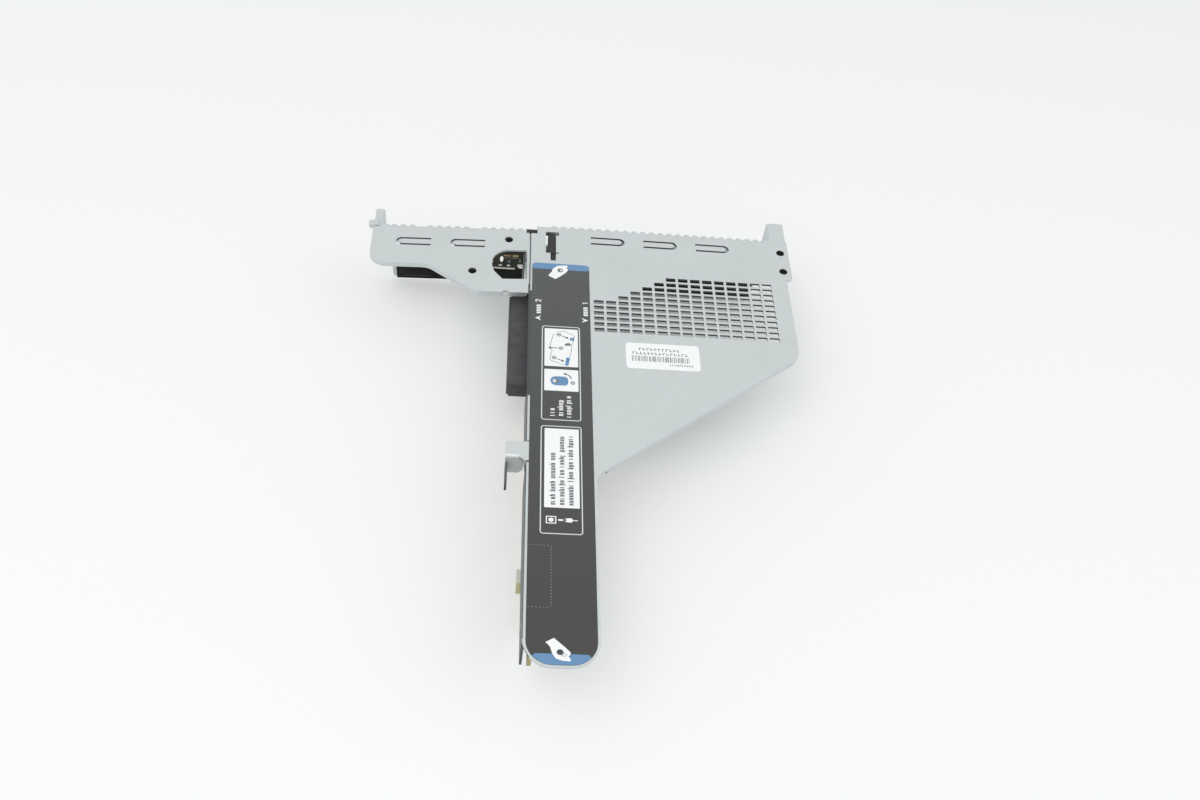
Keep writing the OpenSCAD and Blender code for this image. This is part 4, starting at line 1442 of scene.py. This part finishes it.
@dataclass
class SlotLabel:
    """The long printed film on the strip and its generic print.

    Lengths are in millimetres. A place is given across from the film's left edge and along from its rear
    edge, and a box by its left, rear, right and front sides.
    """

    workshop: Workshop
    palette: Palette
    width: float = 27.0
    length: float = field(init=False)
    sheet: PrintSheet = field(init=False)
    bare: float = 0.03
    rear_radius: float = 2.0
    front_radius: float = 10.0

    band_gap: float = 0.08
    band_shoulder: float = 3.4
    rear_band: float = 4.1
    front_band: float = 4.6

    side_rear: float = 19.2
    side_front: float = 83.6
    side_overhang: float = 0.45
    side_overlap: float = 0.1
    # Outer edge of the painted shadow beside the connector.
    side_painted_shadow: float = 1.55

    rear_hand: tuple[Point, ...] = (
        (7.6, 8.6), (8.3, 7.0), (9.3, 5.7), (9.5, 4.3), (10.2, 3.1), (11.8, 1.6), (14.0, 1.1), (16.3, 0.9),
        (16.8, 1.3), (16.7, 2.1), (15.9, 2.6), (16.8, 3.3), (16.9, 4.1), (16.2, 5.4), (14.4, 7.5),
        (12.6, 9.2), (10.9, 10.6))
    front_hand: tuple[Point, ...] = (
        (7.3, 204.5), (9.0, 203.5), (10.5, 202.6), (12.4, 204.3), (14.7, 206.4), (16.5, 208.2),
        (16.8, 208.9), (16.5, 209.6), (15.9, 210.1), (16.9, 211.6), (16.5, 212.2), (13.8, 212.0),
        (11.3, 211.2), (9.9, 209.1), (9.1, 206.4), (8.1, 205.1))

    frame_line: float = 0.45
    frame_radius: float = 1.3
    panel_radius: float = 0.3
    upper_frame: Box = (4.85, 41.5, 22.1, 97.3)
    picture_panel: Box = (6.1, 43.1, 21.1, 66.2)
    key_panel: Box = (6.1, 68.0, 21.1, 80.6)
    lower_frame: Box = (4.81, 100.4, 22.1, 156.0)
    text_panel: Box = (6.46, 101.9, 20.9, 143.1)

    picture_line: float = 0.24
    picture_left: tuple[Point, ...] = (
        (11.4, 46.6), (10.0, 46.9), (9.4, 49.6), (8.5, 54.1), (9.5, 56.7), (9.0, 58.9), (8.5, 62.0),
        (9.1, 63.0), (11.4, 63.7), (15.0, 65.3))
    picture_right: tuple[Point, ...] = (
        (11.4, 45.2), (14.8, 44.5), (17.3, 45.6), (19.6, 47.0), (19.2, 50.6), (18.2, 53.4), (18.1, 56.9),
        (17.2, 60.4))
    marks: tuple[tuple[Point, Point], ...] = (
        ((12.6, 46.8), (17.0, 48.9)), ((13.4, 55.1), (7.6, 55.1)), ((10.4, 61.0), (15.0, 63.1)))
    mark_reach: float = 1.5

    dot: float = 0.55

    def build(self) -> None:
        """Build the film and its print."""
        palette = self.palette
        low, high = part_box("slot_label")
        corner = Vector((low.x, high.y, high.z))
        self.length = (high.y - low.y) / MM
        radii = (self.rear_radius, self.rear_radius, self.front_radius, self.front_radius)
        outline = rounded_box(0, 0, self.width, self.length, radii, 10)
        top = high.z - self.bare * MM
        film = film_mesh("slot_label_film", corner, outline, low.z, top, palette.film)
        self.workshop.finish_piece("slot_label_film", film, "label_film", ("slot_label",))
        inks = (palette.blue, palette.white, palette.pale, palette.grey, palette.dark, palette.film)
        self.sheet = PrintSheet(corner, top, inks)
        for draw in (self.connector_side, self.bands, self.handles, self.side_marks, self.upper_panel,
                     self.lower_panel, self.release_area):
            draw()
        self.workshop.finish_piece("slot_label_print", self.sheet.finish("slot_label_print"), "label_film")

    def connector_side(self) -> None:
        """The film reaches further left beside the short connector, and a strip of dark ink beside it paints
        the shadow of the gap there.
        """
        rear, front = self.side_rear, self.side_front
        self.sheet.box(-self.side_overhang, rear, self.side_overlap, front, self.palette.film, 1)
        # Painted shadow of the gap beside the connector.
        self.sheet.box(-self.side_painted_shadow, rear, -self.side_overhang, front, self.palette.dark)

    def bands(self) -> None:
        """Blue band at each end of the film."""
        blue, gap = self.palette.blue, self.band_gap
        left, right = gap, self.width - gap
        self.sheet.area(rounded_box(left, gap, right, self.rear_band, (2.0, 2.0, 1.3, 1.3), 8), blue)
        start = self.length - self.front_band
        radius = self.front_radius - gap
        arc = rounded_box(left, 0, right, self.length - gap, (0.1, 0.1, radius, radius), 24)
        rounded = [point for point in arc if point[1] > start + 1.0]
        tail = sorted((p for p in rounded if p[0] > self.width / 2), key=lambda p: p[1])
        head = sorted((p for p in rounded if p[0] <= self.width / 2), key=lambda p: -p[1])
        shoulders = [(left + self.band_shoulder, start), (right - self.band_shoulder, start)]
        self.sheet.area(shoulders + tail + head, blue)

    def handles(self) -> None:
        """A plain hand sign with a round hole at each end."""
        white, dark, grey = self.palette.white, self.palette.dark, self.palette.grey
        self.sheet.area(list(self.rear_hand), white, 1)
        self.sheet.ring(ellipse(13.2, 4.5, 1.35, 1.4), ellipse(13.6, 4.5, 0.55, 0.6), grey, 2)
        self.sheet.area(list(self.front_hand), white, 1)
        self.sheet.area(ellipse(12.8, 208.5, 1.3, 1.2), dark, 2)
        for finger in ([(13.2, 210.2), (14.7, 208.6)], [(14.2, 210.4), (15.5, 209.2)]):
            self.sheet.stroke(finger, 0.22, grey, 3)

    def side_marks(self) -> None:
        """At each side an arrow head that points to the slot, a short row of strokes and its number."""
        white = self.palette.white
        for left, value, head in ((1.4, 2, (0.2, 3.1, 2.1)), (23.0, 1, (3.1, -0.1, 1.1))):
            tip, base, notch = (left + across for across in head)
            self.sheet.area([(tip, 36.8), (base, 35.3), (notch, 36.8), (base, 38.3)], white, 1)
            foot = left + 2.9
            self.sheet.row(foot, 2.7, 33.9, (4,), 1.5, white, 3, 1, 0.5)
            self.number(value, foot, 26.4, 2.5)

    def number(self, value: int, foot: float, start: float, size: float) -> None:
        """Draw the number 1 or 2 with its foot at the right.

        Args:
            value: 1 or 2.
            foot: Place of its foot, across the film.
            start: Its front end.
            size: Its height.
        """
        shapes = {
            1: ((0.72, 0.12), (1.0, 0.34), (0.0, 0.34)),
            2: ((0.74, 0.04), (0.96, 0.18), (0.98, 0.42), (0.8, 0.58), (0.56, 0.5), (0.04, 0.04),
                (0.04, 0.62)),
        }
        points = [(foot - size * up, start - size * run) for up, run in shapes[value]]
        self.sheet.stroke(points, 0.5, self.palette.white, 1)

    def mark(self, u: float, d: float) -> None:
        """A ring with a dot at a fixing.

        Args:
            u: Its middle across.
            d: Its middle along.
        """
        dark = self.palette.dark
        self.sheet.ring(ellipse(u, d, 1.0, 1.0, 20), ellipse(u, d, 0.66, 0.66, 20), dark, 3)
        self.sheet.area(ellipse(u, d, 0.36, 0.36, 12), dark, 3)

    def upper_panel(self) -> None:
        """Rear frame: a panel with a plain outline of a cage, a panel with a key shape, and small print."""
        palette = self.palette
        self.sheet.frame(self.upper_frame, self.frame_line, palette.pale, 1, self.frame_radius)
        for panel in (self.picture_panel, self.key_panel):
            self.sheet.box(*panel, palette.white, 1, self.panel_radius)
        self.cage_picture()
        self.key_picture()
        rows = ((10.7, 94.9, (3,)), (14.4, 94.7, (6,)), (17.8, 95.4, (8,)))
        for index, (foot, start, runs) in enumerate(rows):
            self.sheet.row(foot, 2.5, start, runs, 1.55, palette.white, 11 + index, 1)

    def cage_picture(self) -> None:
        """Two outlines, three patches, and a ring with an arrow at each fixing."""
        line, dark, blue = self.palette.grey, self.palette.dark, self.palette.blue
        for outline in (self.picture_left, self.picture_right):
            self.sheet.stroke(list(outline), self.picture_line, line, 2)
        self.sheet.area([(17.6, 48.5), (19.4, 48.0), (19.2, 50.2), (17.4, 50.0)], blue, 3)
        self.sheet.area([(14.9, 52.6), (16.5, 51.6), (18.0, 52.1), (17.8, 53.3), (15.6, 53.5)], line, 3)
        self.sheet.area([(15.8, 60.5), (17.6, 60.7), (16.7, 65.6), (15.2, 65.4)], blue, 3)
        for mark, tip in self.marks:
            self.mark(*mark)
            away = (Vector(tip) - Vector(mark)).normalized() * self.mark_reach
            self.sheet.arrow(tuple(Vector(mark) + away), tip, dark, 3)

    def key_picture(self) -> None:
        """A rounded key with a round knob, a bent arrow and a ring."""
        palette = self.palette
        self.sheet.area(rounded_box(8.8, 72.1, 16.6, 77.4, (2.5, 1.8, 1.8, 2.5)), palette.blue, 2)
        self.sheet.area(ellipse(11.1, 74.7, 1.3, 1.5), palette.grey, 3)
        self.sheet.area(ellipse(10.6, 74.8, 0.8, 1.0), palette.pale, 4)
        bend = (16.8, 71.2)
        self.sheet.stroke([(18.0, 73.2), (17.6, 72.2), bend], 0.5, palette.dark, 3)
        self.sheet.arrow(bend, (14.5, 70.1), palette.dark, 3)
        self.mark(18.6, 75.6)

    def lower_panel(self) -> None:
        """Front frame: a white panel with three rows of small strokes, and three plain signs."""
        white, dark = self.palette.white, self.palette.dark
        self.sheet.frame(self.lower_frame, self.frame_line, self.palette.pale, 1, self.frame_radius)
        self.sheet.box(*self.text_panel, white, 1, self.panel_radius)
        rows = ((11.0, (4, 4, 6, 3), 1.4), (14.7, (9, 3, 5, 6), 1.42), (18.4, (8, 4, 3, 4, 5), 1.36))
        for index, (foot, runs, pitch) in enumerate(rows):
            self.sheet.row(foot, 2.4, 141.7, runs, pitch, dark, 21 + index, 2)
        self.sheet.frame((7.2, 147.3, 11.4, 151.0), self.frame_line, white, 1, self.panel_radius)
        self.sheet.area(ellipse(9.3, 149.15, 1.1, 1.0), white, 1)
        self.sheet.box(12.1, 148.7, 14.2, 149.5, white, 1)
        self.sheet.box(15.4, 148.1, 17.9, 150.1, white, 1, 0.5)
        self.sheet.stroke([(17.9, 149.1), (20.0, 149.1)], 0.4, white, 1)
        for pin in (148.5, 149.7):
            self.sheet.stroke([(15.4, pin), (14.8, pin)], 0.3, white, 1)

    def release_area(self) -> None:
        """Faint dotted outline near the front."""
        for start, end, count in (((0.9, 161.4), (8.1, 161.4), 6), ((9.4, 162.0), (9.4, 188.8), 21),
                                  ((0.9, 189.6), (8.1, 189.6), 6)):
            self.sheet.dots(start, end, count, self.dot, self.palette.grey, 1)


@dataclass
class PartSticker:
    """The white sticker on the bay, with plain bars and strokes.

    Lengths are in millimetres. A text row has its start, its foot, its number of stems and their pitch,
    and the bars and the small row are given by their left, rear, right and front sides.
    """

    workshop: Workshop
    palette: Palette
    bare: float = 0.02
    radius: float = 1.6
    sheet: PrintSheet = field(init=False)
    pattern: random.Random = field(default_factory=lambda: random.Random(5))
    stem: float = 0.42
    stem_height: float = 1.5
    rail_share: float = 0.7
    rail: float = 0.38
    text_rows: tuple[tuple[float, float, int, float], ...] = ((6.0, 4.5, 11, 1.75), (3.0, 7.0, 15, 1.72))
    bars: Box = (2.6, 7.9, 28.5, 11.2)
    small_row: Box = (19.6, 12.2, 29.6, 13.3)
    small_pitch: float = 1.1
    small_stem: float = 0.35
    small_reach: float = 0.8

    def build(self) -> None:
        """Build the sticker and its marks."""
        low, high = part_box("part_sticker")
        corner = Vector((low.x, high.y, high.z))
        outline = rounded_box(0, 0, (high.x - low.x) / MM, (high.y - low.y) / MM, (self.radius,) * 4, 8)
        top = high.z - self.bare * MM
        paper = film_mesh("part_sticker_paper", corner, outline, low.z, top, self.palette.paper)
        self.workshop.finish_piece("part_sticker_paper", paper, "sticker_paper", ("part_sticker",))
        self.sheet = PrintSheet(corner, top, (self.palette.toner,))
        for draw in (self.draw_rows, self.draw_bars, self.draw_small_row):
            draw()
        marks = self.sheet.finish("part_sticker_marks")
        self.workshop.finish_piece("part_sticker_marks", marks, "sticker_paper")

    def draw_rows(self) -> None:
        """Two rows of stems, each with a short rail."""
        toner = self.palette.toner
        for place, foot, count, pitch in self.text_rows:
            for _ in range(count):
                self.sheet.box(place, foot - self.stem_height, place + self.stem, foot, toner)
                rail = foot - self.pattern.choice((0.4, 0.9, self.stem_height))
                end = place + pitch * self.rail_share
                self.sheet.box(place + self.stem, rail, end, rail + self.rail, toner)
                place += pitch

    def draw_bars(self) -> None:
        """A field of bars of three widths."""
        place, rear, end, front = self.bars
        while place < end:
            width = self.pattern.choice((0.25, 0.4, 0.6))
            self.sheet.box(place, rear, place + width, front, self.palette.toner)
            place += width + self.pattern.choice((0.3, 0.45, 0.6))

    def draw_small_row(self) -> None:
        """A short row of small stems and rails."""
        toner = self.palette.toner
        place, rear, end, front = self.small_row
        while place < end:
            self.sheet.box(place, rear, place + self.small_stem, front, toner)
            rail = rear + self.pattern.choice((0.0, 0.4, 0.75))
            self.sheet.box(place + self.small_stem, rail, place + self.small_reach, rear + self.small_stem,
                           toner)
            place += self.small_pitch


# ---------------------------------------------------------------- studio


@dataclass(frozen=True)
class Lamp:
    """A square soft lamp: its place and size in metres, and its power in watts."""

    name: str
    place: Place
    size: float
    power: float
    aim: Place = (0.02, 0.0, 0.0)

    def build(self) -> None:
        """Place the lamp and turn it towards its aim."""
        data = bpy.data.lights.new(self.name, "AREA")
        data.shape = "SQUARE"
        data.size = self.size
        data.energy = self.power
        lamp = bpy.data.objects.new(self.name, data)
        lamp.location = self.place
        aim_line = Vector(self.aim) - Vector(self.place)
        lamp.rotation_euler = aim_line.to_track_quat("-Z", "Y").to_euler()
        bpy.context.scene.collection.objects.link(lamp)


@dataclass
class Studio:
    """Pale floor, soft light and the camera, with angles in degrees and places in metres."""

    lens: float = 37.773
    sensor: float = 36.0
    pitch: float = 48.526
    turn: float = -8.3235
    roll: float = 9.3526
    place: Place = (-0.023916, -0.330445, 0.446745)

    floor_half: float = 4.0
    floor_drop: float = 0.00002
    floor_colour: Colour = linear(250, 251, 251)
    floor_near: float = -0.3
    floor_far: float = 0.6
    far_shade: float = 0.86
    glow: float = 0.38
    glow_start: float = 0.55
    glow_full: float = 1.35
    glow_shift: Place = (-0.8, -1.6, 0.0)
    glow_scale: Place = (13.3, 15.4, 1.0)

    sky_colour: Colour = (0.97, 0.985, 1.0)
    sky: float = 0.76
    backdrop: float = 0.96
    lamps: tuple[Lamp, ...] = (Lamp("soft_box", (-0.45, -0.5, 1.15), 1.1, 5.0),
                               Lamp("fill_card", (0.9, -0.1, 0.9), 0.9, 1.3))

    def build(self) -> None:
        """Build the whole studio."""
        self.camera()
        self.floor()
        self.world()
        for lamp in self.lamps:
            lamp.build()

    def camera(self) -> None:
        """Create the camera and make it the scene's own."""
        data = bpy.data.cameras.new("studio_camera")
        data.lens = self.lens
        data.sensor_width = self.sensor
        data.clip_start = 0.01
        camera = bpy.data.objects.new("studio_camera", data)
        bpy.context.scene.collection.objects.link(camera)
        pitch, roll = math.radians(self.pitch), math.radians(self.roll)
        turn = Matrix.Rotation(math.radians(self.turn), 3, "Z")
        ahead = turn @ Vector((0, math.cos(pitch), -math.sin(pitch)))
        up = turn @ Vector((0, math.sin(pitch), math.cos(pitch)))
        right = turn @ Vector((1, 0, 0))
        side = math.cos(roll) * right + math.sin(roll) * up
        top = -math.sin(roll) * right + math.cos(roll) * up
        axes = Matrix((side, top, -ahead)).transposed().to_4x4()
        camera.matrix_world = Matrix.Translation(self.place) @ axes
        bpy.context.scene.camera = camera

    def floor(self) -> None:
        """Create the pale floor."""
        shape = bmesh.new()
        bmesh.ops.create_grid(shape, x_segments=8, y_segments=8, size=self.floor_half)
        mesh = close_mesh(shape, "studio_floor", (self.floor_card(),))
        floor = bpy.data.objects.new("studio_floor", mesh)
        floor.location.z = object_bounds()[0][2] - self.floor_drop
        bpy.context.scene.collection.objects.link(floor)
        floor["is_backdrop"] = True

    def floor_card(self) -> Material:
        """Make the floor's card, which glows around the object where it is seen directly; the glow is painted
        light that lifts the floor's shadows away from the bay, and it darkens towards the rear as a painted
        falloff.

        Returns:
            The material.
        """
        card = PrintedFilm("floor_card", self.floor_colour, mottle=0.01, roughness=0.8, grain=300.0).build()
        graph = Graph(card.node_tree, empty=False)
        shader = next(node for node in graph.tree.nodes if node.type == "BSDF_PRINCIPLED")
        leave = next(node for node in graph.tree.nodes if node.type == "OUTPUT_MATERIAL")
        spot = graph.add("TexCoord").outputs["Object"]
        along = graph.add("SeparateXYZ", {0: spot}).outputs[1]
        # Painted falloff: the glow is darker towards the rear.
        painted_falloff = graph.spread(along, self.floor_near, self.floor_far, 1.0, self.far_shade)
        # Painted light: the glow is held off an oval round the bay, where the floor keeps its shadow, and
        # lifts the shadows beyond it.
        oval = graph.add("Mapping", {"Vector": spot, "Location": self.glow_shift, "Scale": self.glow_scale})
        away = graph.add("VectorMath", {0: oval.outputs[0]}, operation="LENGTH").outputs["Value"]
        outside = graph.spread(away, self.glow_start, self.glow_full, 0.0, self.glow)
        share = graph.maths("MULTIPLY", graph.seen_directly(), outside)
        tone = graph.add("CombineColor", {0: painted_falloff, 1: painted_falloff, 2: painted_falloff})
        glow = graph.add("Emission", {"Color": tone.outputs[0], "Strength": 1.0})
        mix = graph.add("MixShader", {0: share, 1: shader.outputs[0], 2: glow.outputs[0]})
        graph.link(mix.outputs[0], leave, "Surface")
        return card

    def world(self) -> None:
        """Set an even sky, white where the camera or a reflection sees it."""
        world = bpy.data.worlds.new("studio_sky")
        world.use_nodes = True
        bpy.context.scene.world = world
        graph = Graph(world.node_tree)
        soft = graph.add("Background", {"Color": (*self.sky_colour, 1.0), "Strength": self.sky})
        white = graph.add("Background", {"Color": (1.0, 1.0, 1.0, 1.0), "Strength": self.backdrop})
        mix = graph.add("MixShader", {0: graph.seen_directly(), 1: soft.outputs[0], 2: white.outputs[0]})
        graph.add("OutputWorld", {"Surface": mix.outputs[0]})


def main() -> None:
    """Build every sub-assembly in order."""
    logging.basicConfig(level=logging.INFO, format="%(message)s")
    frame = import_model()
    bpy.context.scene.view_settings.view_transform = "Standard"
    Studio().build()
    workshop, palette = Workshop(frame), Palette()
    for part in (Cages, RiserBoard, Fasteners, SealsAndClip, SlotLabel, PartSticker):
        part(workshop, palette).build()


if __name__ == "__main__":
    main()
